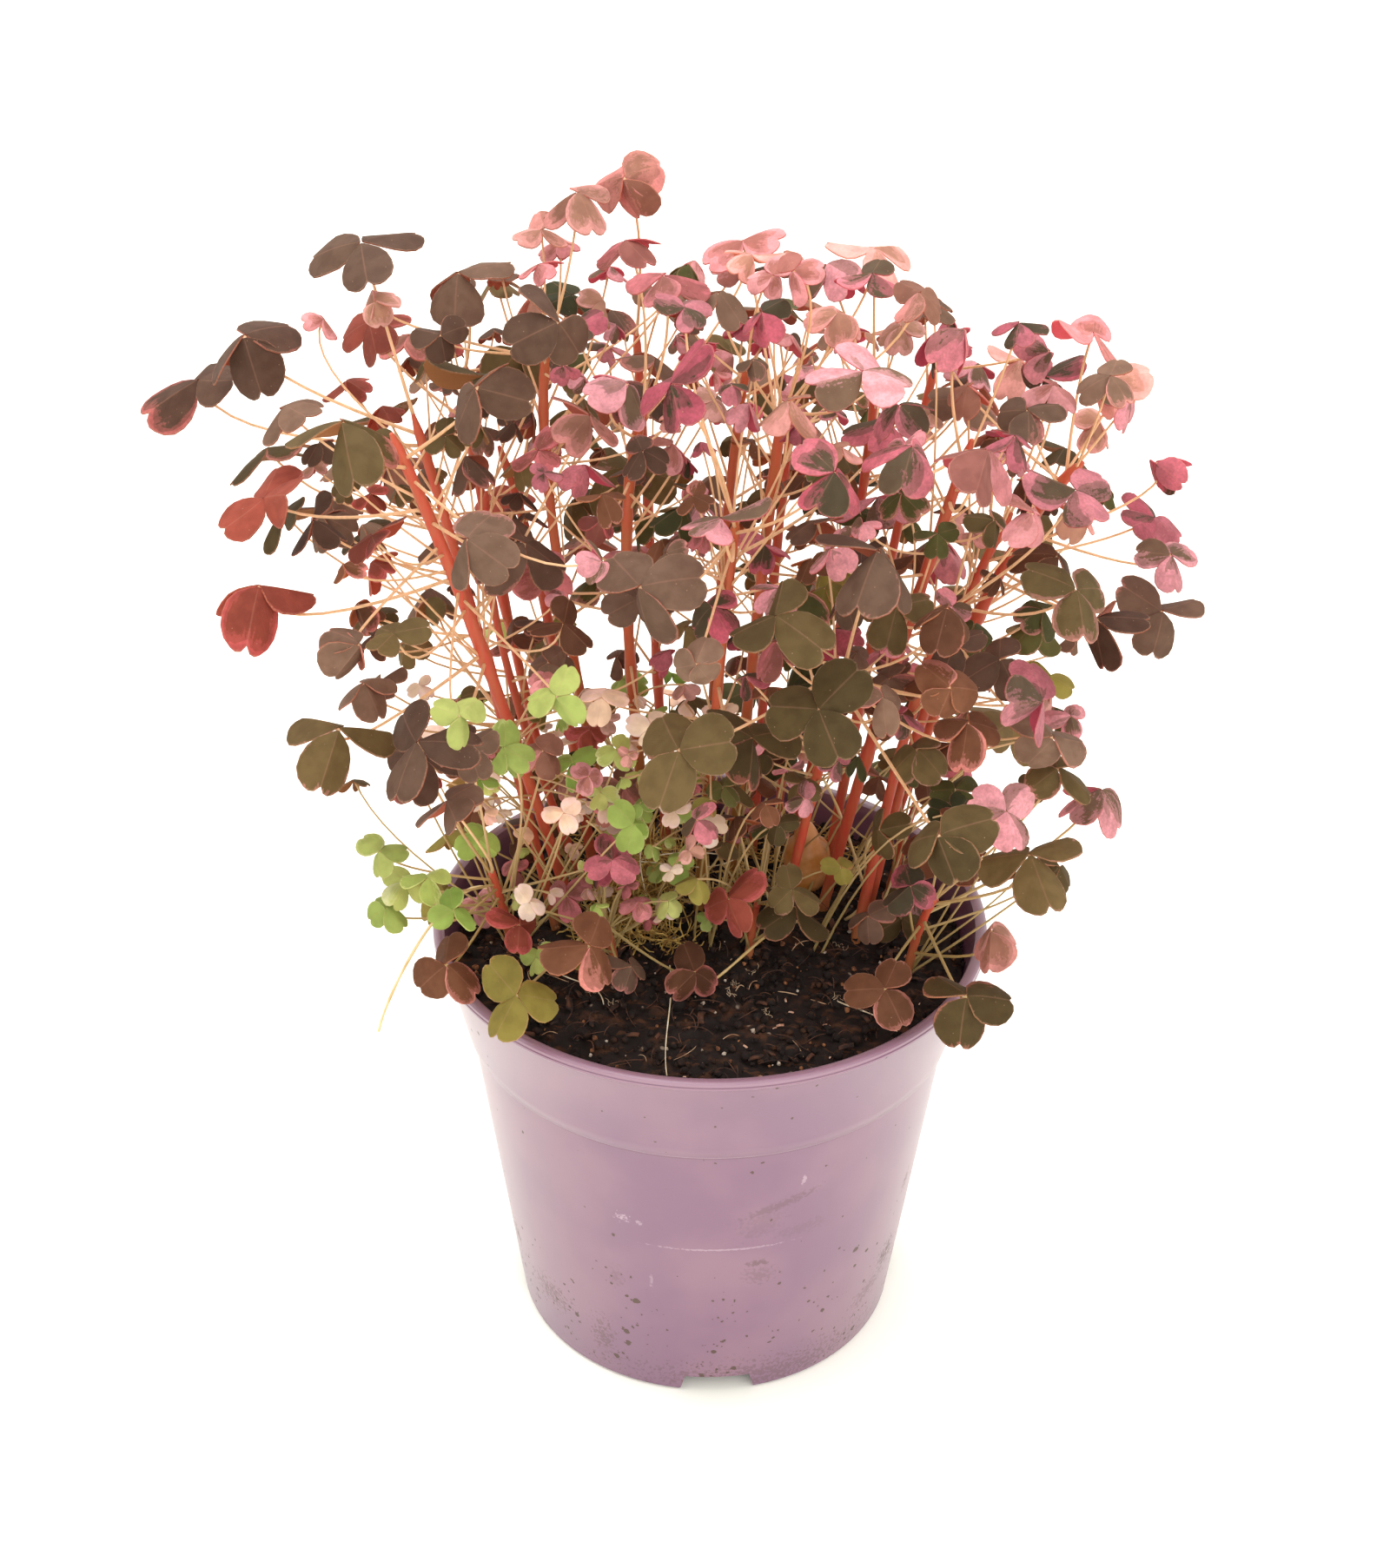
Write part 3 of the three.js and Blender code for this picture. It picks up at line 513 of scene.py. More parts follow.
# Leaves that show from the front: look, hub, the way the upper face looks (degrees to the right of the
# front, degrees up), turn of the first leaflet, length, droop in degrees.
SEEN_LEAVES: list[Row] = [
    # Far left and top left
    ("plum", (-68, 11, 245), -40, 75, 40, 15, 20),
    ("red", (-67, 9, 230), -80, 75, 40, 11, 20),
    ("plum", (-91, 6, 228), 0, 60, 50, 15, 40),
    ("plum", (-100, 3, 220), -20, 75, 90, 14, 0),
    ("plum", (-84, 5, 214), -80, 60, 70, 10, 0),
    ("olive", (-69, -19, 221), -40, 75, 40, 15, 20),
    ("red", (-85, -18, 205), -80, 45, 80, 13, 0),
    ("red", (-86, -27, 191), 0, 90, 20, 14, 40),
    ("olive", (-70, -44, 170), 20, 60, 20, 14, 20),
    ("plum", (-65, -44, 188), 40, 30, 10, 11, 40),
    ("plum", (-44, -45, 210), -40, 45, 80, 13, 20),
    ("plum", (-54, -52, 172), -40, 60, 0, 13, 0),
    ("plum", (-49, -53, 160), -80, 60, 50, 10, 20),
    ("lime", (-46, -54, 179), 20, 30, 40, 7, 30),
    ("lime", (-28, -57, 185), 0, 30, 70, 8, 20),
    ("plum", (-45, -50, 170), -20, 75, 50, 9, 20),
    # Top
    ("plum", (-50, 12, 239), -40, 60, 20, 12, 20),
    ("plum", (-43, -28, 232), -20, 30, 110, 14, 40),
    ("plum", (-29, -19, 241), 40, 30, 90, 12, 20),
    ("dusty", (-27, 15, 254), 0, 90, 60, 10, 20),
    ("dusty", (-18, 15, 257), -20, 45, 40, 12, 40),
    ("rose", (-18, 14, 245), -80, 60, 60, 10, 20),
    ("rose", (-10, -11, 247), -60, 75, 20, 12, 20),
    ("rose", (10, -7, 246), 20, 30, 60, 7, 30),
    ("pink", (29, 6, 242), 40, 75, 70, 9, 0),
    ("pink", (-6, -19, 244), 0, 80, 50, 8, 0),
    ("peach", (30, 14, 244), 0, 80, 50, 12, 0),
    ("peach", (6, 1, 247), 60, 75, 10, 8, 0),
    ("pink", (-25, -21, 241), 0, 80, 30, 8, 0),
    # Centre
    ("pink", (-8, -33, 235), -40, 45, 40, 12, 0),
    ("pink", (-16, -33, 235), 60, 45, 90, 11, 40),
    ("pink", (26, -26, 235), 0, 80, 90, 13, 0),
    ("pink", (21, -41, 222), 60, 60, 10, 12, 20),
    ("pink", (35, -34, 224), 60, 75, 20, 13, 20),
    ("plum", (-13, -53, 205), -40, 45, 10, 14, 20),
    ("pink", (1, -48, 216), -40, 75, 10, 12, 0),
    ("plum", (29, -46, 209), 60, 75, 10, 15, 20),
    ("olive", (11, -54, 200), -40, 60, 80, 12, 0),
    ("olive", (-6, -60, 176), -20, 30, 10, 14, 20),
    ("olive", (7, -59, 178), 40, 60, 30, 13, 0),
    ("olive", (19, -57, 183), -20, 45, 50, 13, 0),
    # Right
    ("pink", (46, -4, 235), 60, 60, 0, 11, 40),
    ("rose", (72, 8, 230), 60, 75, 80, 12, 0),
    ("pink", (64, 9, 226), 40, 30, 50, 9, 40),
    ("pink", (64, 8, 221), -60, 45, 10, 10, 0),
    ("peach", (77, 6, 221), -20, 40, 20, 11, 40),
    ("pink", (86, 2, 206), -60, 45, 70, 10, 40),
    ("rose", (49, -28, 221), 60, 75, 20, 14, 20),
    ("pink", (67, -21, 210), 60, 75, 50, 13, 0),
    ("pink", (86, 0, 195), 60, 45, 100, 11, 0),
    ("pink", (90, -2, 188), 0, 60, 40, 10, 20),
    ("olive", (67, -32, 195), 60, 60, 40, 13, 20),
    ("plum", (72, -30, 188), -60, 40, 0, 12, 30),
    ("plum", (89, -5, 177), 40, 60, 30, 11, 20),
    ("brown", (42, -46, 198), 60, 75, 20, 10, 40),
    ("rose", (58, -31, 210), 20, 60, 110, 10, 40),
    ("pink", (61, -42, 177), 60, 30, 80, 13, 0),
    ("peach", (66, -37, 181), -60, 60, 50, 11, 40),
    ("brown", (43, -50, 184), 0, 45, 10, 10, 40),
    ("brown", (47, -49, 176), 0, 80, 20, 10, 40),
    ("plum", (64, -40, 168), 20, 40, 0, 11, 40),
    ("olive", (66, -38, 160), 0, 60, 90, 10, 40),
    ("peach", (69, -36, 168), 0, 75, 80, 10, 40),
    ("pink", (56, -44, 154), 20, 45, 40, 10, 0),
    ("olive", (63, -33, 137), -60, 60, 40, 15, 20),
    ("olive", (43, -50, 152), -60, 60, 30, 13, 40),
    # Low, over the soil and the rim
    ("pink", (41, -22, 122), 0, 60, 100, 9, 20),
    ("peach", (57, -32, 118), -60, 75, 20, 12, 40),
    ("olive", (52, -38, 106), -20, 60, 10, 14, 40),
    ("brown", (38, -30, 104), -40, 60, 0, 12, 20),
    ("olive", (18, -13, 110), 60, 60, 100, 11, 20),
    ("red", (4, -10, 110), -60, 60, 40, 10, 20),
    ("golden", (-38, -48, 112), 30, 60, 10, 12, 20),
    ("brown", (-25, -25, 108), 40, 50, 70, 12, 20),
    ("brown", (-53, -38, 112), 0, 60, 90, 11, 40),
    ("rose", (-42, -22, 124), 30, 40, 40, 12, 20),
    ("lime", (-62, -26, 124), 20, 75, 10, 8, 20),
    ("golden", (-55, -21, 118), 0, 60, 110, 9, 40),
    ("lime", (-47, -22, 132), 20, 40, 90, 7, 30),
    ("pink", (-23, -12, 122), -60, 75, 20, 9, 20),
    ("red", (-41, -6, 100), 40, 50, 30, 8, 20),
    ("brown", (-3, -21, 99), 40, 60, 110, 9, 20),
]

# Small leaves that only the dressed plant has, written as the seen ones are.
SMALL_LEAVES: list[Row] = [
    ("rose", (-76, 8, 231), 80, 60, 100, 6, 0),
    ("olive", (-58, -47, 192), -60, 75, 10, 8, 0),
    ("plum", (-51, -13, 236), 0, 40, 40, 8, 30),
    ("peach", (-34, 14, 247), -20, 75, 100, 8, 0),
    ("pink", (8, -18, 243), -20, 60, 40, 8, 20),
    ("pink", (-20, -51, 209), 60, 30, 80, 7, 40),
    ("plum", (-3, -57, 192), 0, 30, 70, 8, 30),
    ("lime", (-19, -3, 122), 20, 40, 100, 7, 30),
    ("olive", (35, -10, 128), -40, 30, 10, 8, 20),
    ("rose", (14, -4, 246), -40, 30, 10, 8, 30),
    ("red", (-62, -38, 207), -80, 60, 50, 8, 0),
    ("dusty", (-66, 10, 234), 0, 45, 40, 8, 40),
    # The dense cluster at the top right
    ("pink", (57, 2, 234), 30, 75, 20, 8, 20),
    ("rose", (65, 6, 220), 60, 80, 70, 8, 10),
    ("dusty", (74, 3, 214), 40, 70, 10, 8, 30),
    ("pink", (80, 6, 217), 70, 60, 50, 8, 20),
    ("rose", (51, 8, 228), 0, 85, 90, 8, 10),
    ("plum", (60, 3, 216), -30, 60, 30, 9, 20),
    ("pink", (56, -12, 217), 40, 75, 60, 8, 20),
    ("dusty", (70, -9, 201), 60, 70, 20, 8, 30),
    ("pink", (79, -6, 198), 70, 60, 80, 7, 20),
    ("rose", (84, -3, 202), 60, 75, 0, 7, 20),
    ("pink", (60, -20, 202), 20, 60, 50, 8, 30),
    ("plum", (75, 1, 224), 40, 80, 70, 8, 10),
    ("rose", (63, 9, 236), 0, 85, 30, 8, 10),
    ("dusty", (48, 0, 222), -20, 75, 10, 8, 20),
    ("pink", (69, 3, 207), 50, 60, 40, 7, 30),
    # Over the top
    ("rose", (-4, 4, 250), 0, 85, 20, 8, 10),
    ("pink", (18, 2, 247), 40, 80, 60, 8, 10),
    ("dusty", (38, 4, 239), 30, 80, 0, 8, 20),
    ("rose", (-34, 6, 243), -40, 80, 50, 7, 10),
    ("plum", (0, 0, 240), -10, 75, 80, 9, 20),
    ("dusty", (22, -10, 240), 10, 80, 40, 8, 10),
    # Low at the left
    ("olive", (-40, -20, 127), 0, 50, 90, 10, 0),
    ("plum", (-52, -22, 140), -40, 50, 80, 10, 20),
    ("lime", (-67, -24, 130), -20, 55, 20, 7, 20),
    ("lime", (-66, -28, 119), 0, 60, 80, 7, 20),
    ("lime", (-57, -29, 127), 20, 65, 50, 7, 10),
    ("lime", (-52, -30, 120), 30, 60, 100, 7, 20),
    ("pale", (-37, -24, 118), 0, 45, 10, 6, 20),
    ("rose", (-15, -16, 113), 20, 60, 60, 6, 20),
    ("rose", (-30, -14, 113), 0, 45, 40, 8, 30),
    ("olive", (-49, -34, 106), -20, 45, 70, 9, 10),
    ("red", (-45, -13, 105), -40, 40, 20, 8, 30),
    ("rose", (-49, -12, 110), -30, 55, 60, 8, 30),
    ("pink", (-21, -6, 117), 20, 40, 90, 8, 10),
    ("plum", (-16, -32, 108), 40, 50, 20, 7, 20),
    # The pale clump of young leaves
    ("pale", (-22, -18, 163), -20, 45, 20, 8, 20),
    ("pale", (-12, -19, 157), 20, 50, 50, 7, 30),
    ("dusty", (-34, -17, 150), 0, 45, 60, 8, 30),
    ("lime", (-42, -14, 149), -30, 50, 90, 7, 10),
    ("lime", (-28, -18, 148), 0, 60, 40, 7, 20),
    ("red", (-25, -10, 151), 20, 75, 40, 7, 30),
    ("lime", (-19, -18, 151), 10, 60, 70, 6, 20),
    ("pink", (-38, -16, 144), -20, 60, 30, 7, 20),
    ("rose", (-25, -15, 143), 20, 45, 10, 6, 30),
    ("pale", (-30, -18, 136), 0, 45, 50, 6, 20),
    ("dusty", (-18, -12, 139), 20, 50, 80, 7, 20),
    ("lime", (-16, -14, 131), 30, 45, 20, 7, 10),
    ("pale", (-23, -16, 134), -10, 50, 90, 5, 20),
    # Low at the right
    ("brown", (36, -33, 104), 20, 40, 60, 10, 20),
    ("plum", (44, -29, 106), 40, 50, 20, 9, 20),
    ("olive", (40, -16, 110), 0, 40, 90, 9, 10),
    ("plum", (53, 2, 113), 30, 45, 50, 11, 10),
    ("plum", (33, -17, 111), -20, 50, 30, 8, 20),
    ("olive", (26, -14, 110), -30, 55, 80, 8, 20),
    ("pink", (43, -3, 108), 20, 45, 40, 8, 20),
    ("olive", (17, -12, 114), 0, 50, 100, 8, 10),
]


@dataclass(frozen=True)
class Bend:
    """A curve from start to end that is pulled towards a third point, in millimetres."""

    start: np.ndarray
    pull: np.ndarray
    end: np.ndarray

    def at(self, shares: float | np.ndarray) -> np.ndarray:
        """Returns the curve's point, or points, at a share or shares of its way."""
        t = np.asarray(shares, dtype=float)[..., None]
        return (1 - t) ** 2 * self.start + 2 * (1 - t) * t * self.pull + t**2 * self.end

    def length(self) -> float:
        """Returns the length of the curve, as the sum of two hundred chords."""
        points = self.at(np.arange(201) / 200)
        return float(np.sqrt((np.diff(points, axis=0) ** 2).sum(axis=1)).sum())


@dataclass
class Leaf:
    """A leaf of three leaflets on its petiole.

    Attributes:
        look: The leaf's colouring.
        hub: Where the leaflets meet.
        normal: The way the upper face looks.
        right: The leaf's own right, seen from above it.
        up: The leaf's own up, seen from above it.
        spin: The first leaflet's turn in the leaf's plane, in radians.
        length: A leaflet's length.
        droop: How far the leaflets hang, in radians.
        root: Where the petiole meets the stem.
        owner: The stem's name.
        is_young: Whether it grows from the soil on a stalk that rises steeply before it bends outwards.
    """

    look: Look
    hub: np.ndarray
    normal: np.ndarray
    right: np.ndarray
    up: np.ndarray
    spin: float
    length: float
    droop: float
    root: np.ndarray = field(default_factory=lambda: np.zeros(3))
    owner: str = ""
    is_young: bool = False

    @classmethod
    def facing(cls, look: Look, hub: np.ndarray, normal: np.ndarray, turn: Sequence[float]) -> "Leaf":
        """Returns a leaf whose own axes follow from its normal.

        Args:
            look: The colouring.
            hub: Where the leaflets meet.
            normal: The way the upper face looks.
            turn: Spin in degrees, length, droop in degrees.

        Returns:
            The leaf, not yet on a stem.
        """
        spin, length, droop = turn
        right = np.array([1.0, 0.0, 0.0]) - normal[0] * normal
        right /= np.sqrt((right**2).sum())
        up = np.cross(normal, right)
        return cls(look, hub, normal, right, up, math.radians(spin), length, math.radians(droop))

    def axes(self, number: int) -> tuple[np.ndarray, np.ndarray, np.ndarray]:
        """Finds the ways in which a leaflet lies.

        Args:
            number: Which of the three leaflets.

        Returns:
            The way out, the way to the side and the face's normal.
        """
        turn = self.spin + number * 2 * math.pi / 3
        out = self.right * math.cos(turn) + self.up * math.sin(turn)
        side = self.up * math.cos(turn) - self.right * math.sin(turn)
        face = self.normal * math.cos(self.droop) + out * math.sin(self.droop)
        return out, side, face

    def blade(self, number: int, along: np.ndarray, across: np.ndarray) -> np.ndarray:
        """Returns points of a leaflet's middle surface.

        Args:
            number: Which of the three leaflets.
            along: Shares of its length.
            across: Shares of its half width, negative on the right.

        Returns:
            One point a row.
        """
        # How far the halves bend down from the midrib, as a share of the half width
        fold = 0.16
        out, side, face = self.axes(number)
        half_width = self.length * 0.98 / 2
        return (
            self.hub
            + np.outer(along * self.length * math.cos(self.droop), out)
            - np.outer(along**1.25 * self.length * math.sin(self.droop), self.normal)
            + np.outer(across * half_width, side)
            - np.outer(fold * np.abs(across) * half_width, face)
        )

    def petiole(self) -> Bend:
        """Bends the petiole.

        Returns:
            Its curve from the hub to the root.
        """
        if self.is_young:
            pull = 0.4 * self.hub + 0.6 * self.root
            pull[2] = 0.85 * self.hub[2] + 0.15 * self.root[2]
            return Bend(self.hub, pull, self.root)
        reach = math.sqrt(((self.hub - self.root) ** 2).sum())
        pull = self.hub - self.normal * (0.32 * reach)
        is_over_rim = math.hypot(pull[0], pull[1]) > 46
        pull[2] = max(pull[2], 105.0 if is_over_rim else 98.0)
        return Bend(self.hub, pull, self.root)


@dataclass
class Stem:
    """A stem with its leaves.

    Attributes:
        name: The name of the stem's CAD node.
        line: Its middle line from inside the soil to the tip.
        radius: Its radius at the soil.
        quota: How many leaves the growth rule gives it.
        leaves: The leaves on it.
    """

    name: str
    line: Bend
    radius: float
    quota: int
    leaves: list[Leaf] = field(default_factory=list)


@dataclass
class Crowd:
    """What is standing already: balls in cells, so that a new leaf keeps clear of them.

    Attributes:
        clearance: The gap that is kept between balls.
        cells: The balls in each cell and in the cells round it.
        cell_size: A cell's width.
        root_free: How near its root a leaf may touch its own stem.
    """

    clearance: float
    cells: dict[tuple[int, int, int], list[Ball]] = field(default_factory=dict)
    cell_size: float = 8.0
    root_free: float = 6.0

    def cell(self, ball: Ball) -> tuple[int, int, int]:
        """Returns the cell of a ball's middle."""
        size = self.cell_size
        return math.floor(ball[0] / size), math.floor(ball[1] / size), math.floor(ball[2] / size)

    def add(self, balls: Sequence[Ball]) -> None:
        """Adds balls to their own cells and to all cells round them.

        Args:
            balls: The balls.
        """
        for ball in balls:
            i, j, k = self.cell(ball)
            for n in range(27):
                key = (i + n % 3 - 1, j + n // 3 % 3 - 1, k + n // 9 - 1)
                self.cells.setdefault(key, []).append(ball)

    def is_clear(self, balls: Sequence[Ball], root: np.ndarray) -> bool:
        """Tells whether every ball keeps clear, but for its own stem's near the root.

        Args:
            balls: The balls of a new leaf.
            root: Where the leaf grows from its stem.

        Returns:
            True if nothing is in the way.
        """
        root_x, root_y, root_z = (float(value) for value in root)
        for x, y, z, radius, owner in balls:
            from_root = math.hypot(x - root_x, y - root_y, z - root_z)
            for other in self.cells.get(self.cell((x, y, z, radius, owner)), ()):
                gap = math.hypot(x - other[0], y - other[1], z - other[2])
                if gap >= radius + other[3] + self.clearance:
                    continue
                if other[4] != owner or from_root > self.root_free:
                    return False
        return True


# Where the balls that guard a leaflet sit on it
GUARD_ALONG = np.array([0.3, 0.55, 0.55, 0.6, 0.84, 0.84])
GUARD_ACROSS = np.array([0.0, 0.66, -0.66, 0.0, 0.52, -0.52])


def leaf_balls(leaf: Leaf, share: float) -> list[Ball]:
    """Returns the balls that guard a leaf's blades, with radii that are this share of its length."""
    spots = np.concatenate([leaf.blade(number, GUARD_ALONG, GUARD_ACROSS) for number in range(3)])
    return [(float(x), float(y), float(z), leaf.length * share, leaf.owner) for x, y, z in spots]


def petiole_balls(leaf: Leaf) -> list[Ball]:
    """Guards a leaf's petiole with balls.

    Args:
        leaf: The leaf.

    Returns:
        The balls.
    """
    joints = leaf.petiole().at(np.array([0.0, 0.4, 1.0]))
    balls: list[Ball] = []
    for start, end in pairwise(joints):
        count = math.ceil(math.sqrt(((end - start) ** 2).sum()) / 2)
        for step in range(1, count + 1):
            x, y, z = start + (end - start) * (step / count)
            balls.append((float(x), float(y), float(z), 0.8, leaf.owner))
    return balls


def hits_pot(ball: Ball) -> bool:
    """Tells whether a ball runs into the soil or the pot's rim.

    Args:
        ball: The ball.

    Returns:
        True if it does.
    """
    inside, gap = 56, 0.8
    x, y, z, radius, _ = ball
    reach = math.hypot(x, y)
    if reach < inside:
        return z - radius < soil_height(x, y) + gap
    return reach - radius < PotForm.lip_radius + 1 and z - radius < PotForm.height + gap


@dataclass(frozen=True)
class GrowthRule:
    """How leaves are added to a stem at random.

    Attributes:
        petiole: Shortest and longest petiole.
        rise: How steeply the petiole rises, in degrees.
        length: A leaflet's length.
        droop: Droop in degrees.
        top_share: How much of the stem's upper part bears them.
        tries: How often a place is tried.
        guard: Radius of the guarding balls as a share of a leaflet's length.
    """

    petiole: Span = (24, 48)
    rise: Span = (18, 78)
    length: Span = (8, 14)
    droop: Span = (0, 40)
    top_share: float = 0.55
    tries: int = 60
    guard: float = 0.18


@dataclass(frozen=True)
class Patch:
    """A patch of leaves that grow straight from the soil.

    Attributes:
        name: The name of their piece.
        count: How many.
        x: From where to where the hubs are, in millimetres.
        y: The same along Y.
        z: The same in height.
        length: A leaflet's length.
        seed: The seed of its random numbers.
        looks: How often each look comes, or nothing to go by the zones.
        inward: How near the stalk's foot is to the pot's axis, as a share of the hub's distance.
        may_hide: Whether they may stand in front of the listed leaves.
        on_stems: Whether their stalks leave the nearest stem and not the soil.
        tries: How often a place is tried for each leaf.
    """

    name: str
    count: int
    x: Span
    y: Span
    z: Span
    length: Span
    seed: int
    looks: dict[str, float] = field(default_factory=dict)
    inward: float = 0.8
    may_hide: bool = False
    on_stems: bool = False
    tries: int = 30


PATCHES = (
    Patch(
        "seedlings",
        84,
        (-48, 2),
        (-22, 10),
        (101, 152),
        (3.0, 6.2),
        515,
        {"lime": 5, "pale": 6, "peach": 2, "golden": 1, "rose": 1, "green": 1},
        may_hide=True,
        on_stems=True,
    ),
    Patch("young_leaves_front", 26, (-60, 62), (-44, 2), (108, 144), (5, 9), 616, inward=0.45),
    Patch("young_leaves_back", 36, (-60, 60), (14, 60), (103, 132), (5.5, 10), 717, inward=0.6),
)


# Where each colouring grows: x from, x to, z from, z to, and how often each look comes.
ZONES: list[Row] = [
    (-200, -38, 205, 300, {"plum": 6, "brown": 1, "red": 2, "dusty": 3, "olive": 3}),
    (-200, -38, 150, 205, {"plum": 6, "brown": 2, "red": 2, "olive": 4, "dusty": 1}),
    (-38, 0, 215, 300, {"pink": 3, "dusty": 3, "rose": 2, "plum": 3, "peach": 2, "red": 1, "green": 1}),
    (-38, 20, 150, 215, {"plum": 4, "brown": 3, "green": 4, "pink": 4, "olive": 3, "rose": 2}),
    (0, 200, 205, 300, {"pink": 6, "rose": 2, "plum": 3, "peach": 1, "dusty": 2, "green": 1}),
    (20, 200, 150, 205, {"pink": 4, "plum": 3, "olive": 3, "green": 2, "peach": 1, "golden": 1, "brown": 2}),
    (-200, -5, 0, 150, {"olive": 4, "brown": 4, "peach": 1, "lime": 3, "pale": 2, "golden": 2, "red": 1}),
    (-5, 200, 0, 150, {"olive": 5, "green": 3, "brown": 3, "golden": 1, "pink": 2, "peach": 1}),
]


def look_at(hub: np.ndarray, chance: float) -> Look:
    """Returns the look of a leaf by its place in the plant.

    Args:
        hub: Where the leaf is.
        chance: A random number from 0 to 1.

    Returns:
        One of the looks of the leaf's zone, or of the plum ones beyond them all.
    """
    for x_from, x_to, z_from, z_to, weights in ZONES:
        if x_from <= hub[0] < x_to and z_from <= hub[2] < z_to:
            left = chance * sum(weights.values())
            for name, weight in weights.items():
                left -= weight
                if left <= 0:
                    return Look(name)
    return Look.PLUM


@dataclass
class Growth:
    """The plant's growth: the part's own leaves, in the same order and by the same rule, and then more.

    Attributes:
        eye: The place from which the plant is seen.
        slides: How far a crowded leaf slides along its line of sight.
        rule: The rule for the part's own random leaves.
        extra_rule: The rule for the leaves that only the dressed plant has.
        extras: How many of those each stem gets, by the start of its name.
        looks: Where the colourings' random numbers come from.
        low: The leaves that grow straight from the soil, by the name of their piece.
        root_reach: The shortest and the longest way from a hub to its root.
        best_reach: The way that is tried first.
        root_points: The places on all stems from which a leaf may grow.
        root_shares: How far along its stem each of them is.
        root_stems: The number of its stem.
    """

    eye: np.ndarray = field(default_factory=lambda: np.array([0.0, -437.0, 398.0]))
    slides: tuple[float, ...] = (0, 4, -4, 8, -8, 12, -12, 17, -17, 23, -23)
    rule: GrowthRule = GrowthRule()
    extra_rule: GrowthRule = GrowthRule(
        petiole=(12, 42), rise=(10, 85), length=(4.5, 10.0), droop=(0, 45), top_share=0.62, guard=0.13
    )
    extras: tuple[tuple[str, int], ...] = (
        ("stem_far", 14),
        ("stem_right", 22),
        ("stem_top", 20),
        ("stem", 16),
        ("shoot", 6),
    )
    crowd: Crowd = field(default_factory=lambda: Crowd(0.6))
    stems: list[Stem] = field(default_factory=list)
    seen: list[Leaf] = field(default_factory=list)
    looks: Draw = field(default_factory=lambda: Draw(31337))
    low: dict[str, list[Leaf]] = field(default_factory=dict)
    root_reach: Span = (9, 66)
    best_reach: float = 30
    root_points: np.ndarray = field(init=False)
    root_shares: np.ndarray = field(init=False)
    root_stems: np.ndarray = field(init=False)

    def grow(self) -> list[Stem]:
        """Grows the whole plant.

        Returns:
            The stems with all their leaves.
        """
        self.stems = [self.make_stem(row) for row in [*STEMS, *self.far_rows()]]
        for stem in self.stems:
            self.crowd.add(self.stem_balls(stem))
        self.find_roots()
        placed = [self.place(row, self.rule.guard) for row in SEEN_LEAVES]
        self.seen = [leaf for leaf in placed if leaf]
        draw = Draw(20707)
        for number in range(max(stem.quota for stem in self.stems)):
            for stem in self.stems:
                if number < stem.quota:
                    self.add_leaf(stem, number, draw, self.rule)
        LOG.info("leaves of the part: %d", self.count())
        self.add_extras()
        for stem in self.stems:
            self.spread_roots(stem)
        self.low = {patch.name: self.add_patch(patch) for patch in PATCHES}
        LOG.info("leaves on stems: %d, from the soil: %d", self.count(), sum(map(len, self.low.values())))
        return self.stems

    def add_extras(self) -> None:
        """Adds the small leaves, and then more leaves at random on every stem."""
        self.crowd.clearance = 0.35
        self.seen += [leaf for row in SMALL_LEAVES if (leaf := self.place(row, self.extra_rule.guard))]
        draw = Draw(90210)
        for stem in self.stems:
            wanted = next(count for start, count in self.extras if stem.name.startswith(start))
            for number in range(wanted):
                self.add_leaf(stem, number, draw, self.extra_rule)

    @staticmethod
    def spread_roots(stem: Stem) -> None:
        """Moves petioles that leave the stem at one height down it, so that each has a height of its own.

        Args:
            stem: The stem.
        """
        shares = np.linspace(0, 1, 101)
        points = stem.line.at(shares)
        lowest = 0.15 if stem.name.startswith("shoot") else 0.5
        spacing = (0.9 - lowest) / max(14, len(stem.leaves))
        taken: list[float] = []
        for leaf in stem.leaves:
            share = float(shares[np.argmin(((points - leaf.root) ** 2).sum(axis=1))])
            while share > lowest and any(abs(share - other) < spacing for other in taken):
                share -= spacing
            taken.append(share)
            leaf.root = stem.line.at(share)

    def count(self) -> int:
        """Returns the number of leaves."""
        return sum(len(stem.leaves) for stem in self.stems)

    @staticmethod
    def make_stem(row: Row) -> Stem:
        """Makes a stem from its row.

        Args:
            row: A row as STEMS has it.

        Returns:
            The stem, still bare.
        """
        name, foot, middle, tip, radius, quota = row
        start = np.array([foot[0], foot[1], soil_height(*foot) - 7.0])
        end = np.array(tip, dtype=float)
        pull = 2 * np.array(middle, dtype=float) - 0.5 * start - 0.5 * end
        return Stem(name, Bend(start, pull, end), radius, quota)

    @staticmethod
    def far_rows() -> list[Row]:
        """Sets out the far side's stems and shoots.

        Returns:
            Their rows, as STEMS has them.
        """
        rows: list[Row] = []
        for number in range(6):
            turn = 8 + number * 33
            tip_height = (192, 212)[number % 2]
            middle, tip = (*around_axis(turn, 46), 152), (*around_axis(turn, 60), tip_height)
            rows.append((f"stem_far_{number + 1}", around_axis(turn, 33), middle, tip, 1.7, 6))
        for number in range(3):
            turn = 25 + number * 45
            middle, tip = (*around_axis(turn, 46.5), 103), (*around_axis(turn, 50), 116)
            rows.append((f"shoot_far_{number + 1}", around_axis(turn, 43), middle, tip, 1.5, 2))
        return rows

    @staticmethod
    def stem_balls(stem: Stem) -> list[Ball]:
        """Guards a stem with balls.

        Args:
            stem: The stem.

        Returns:
            The balls.
        """
        count = math.ceil(stem.line.length() / 2)
        points = stem.line.at(np.arange(count + 1) / count)
        return [(float(x), float(y), float(z), stem.radius, stem.name) for x, y, z in points]

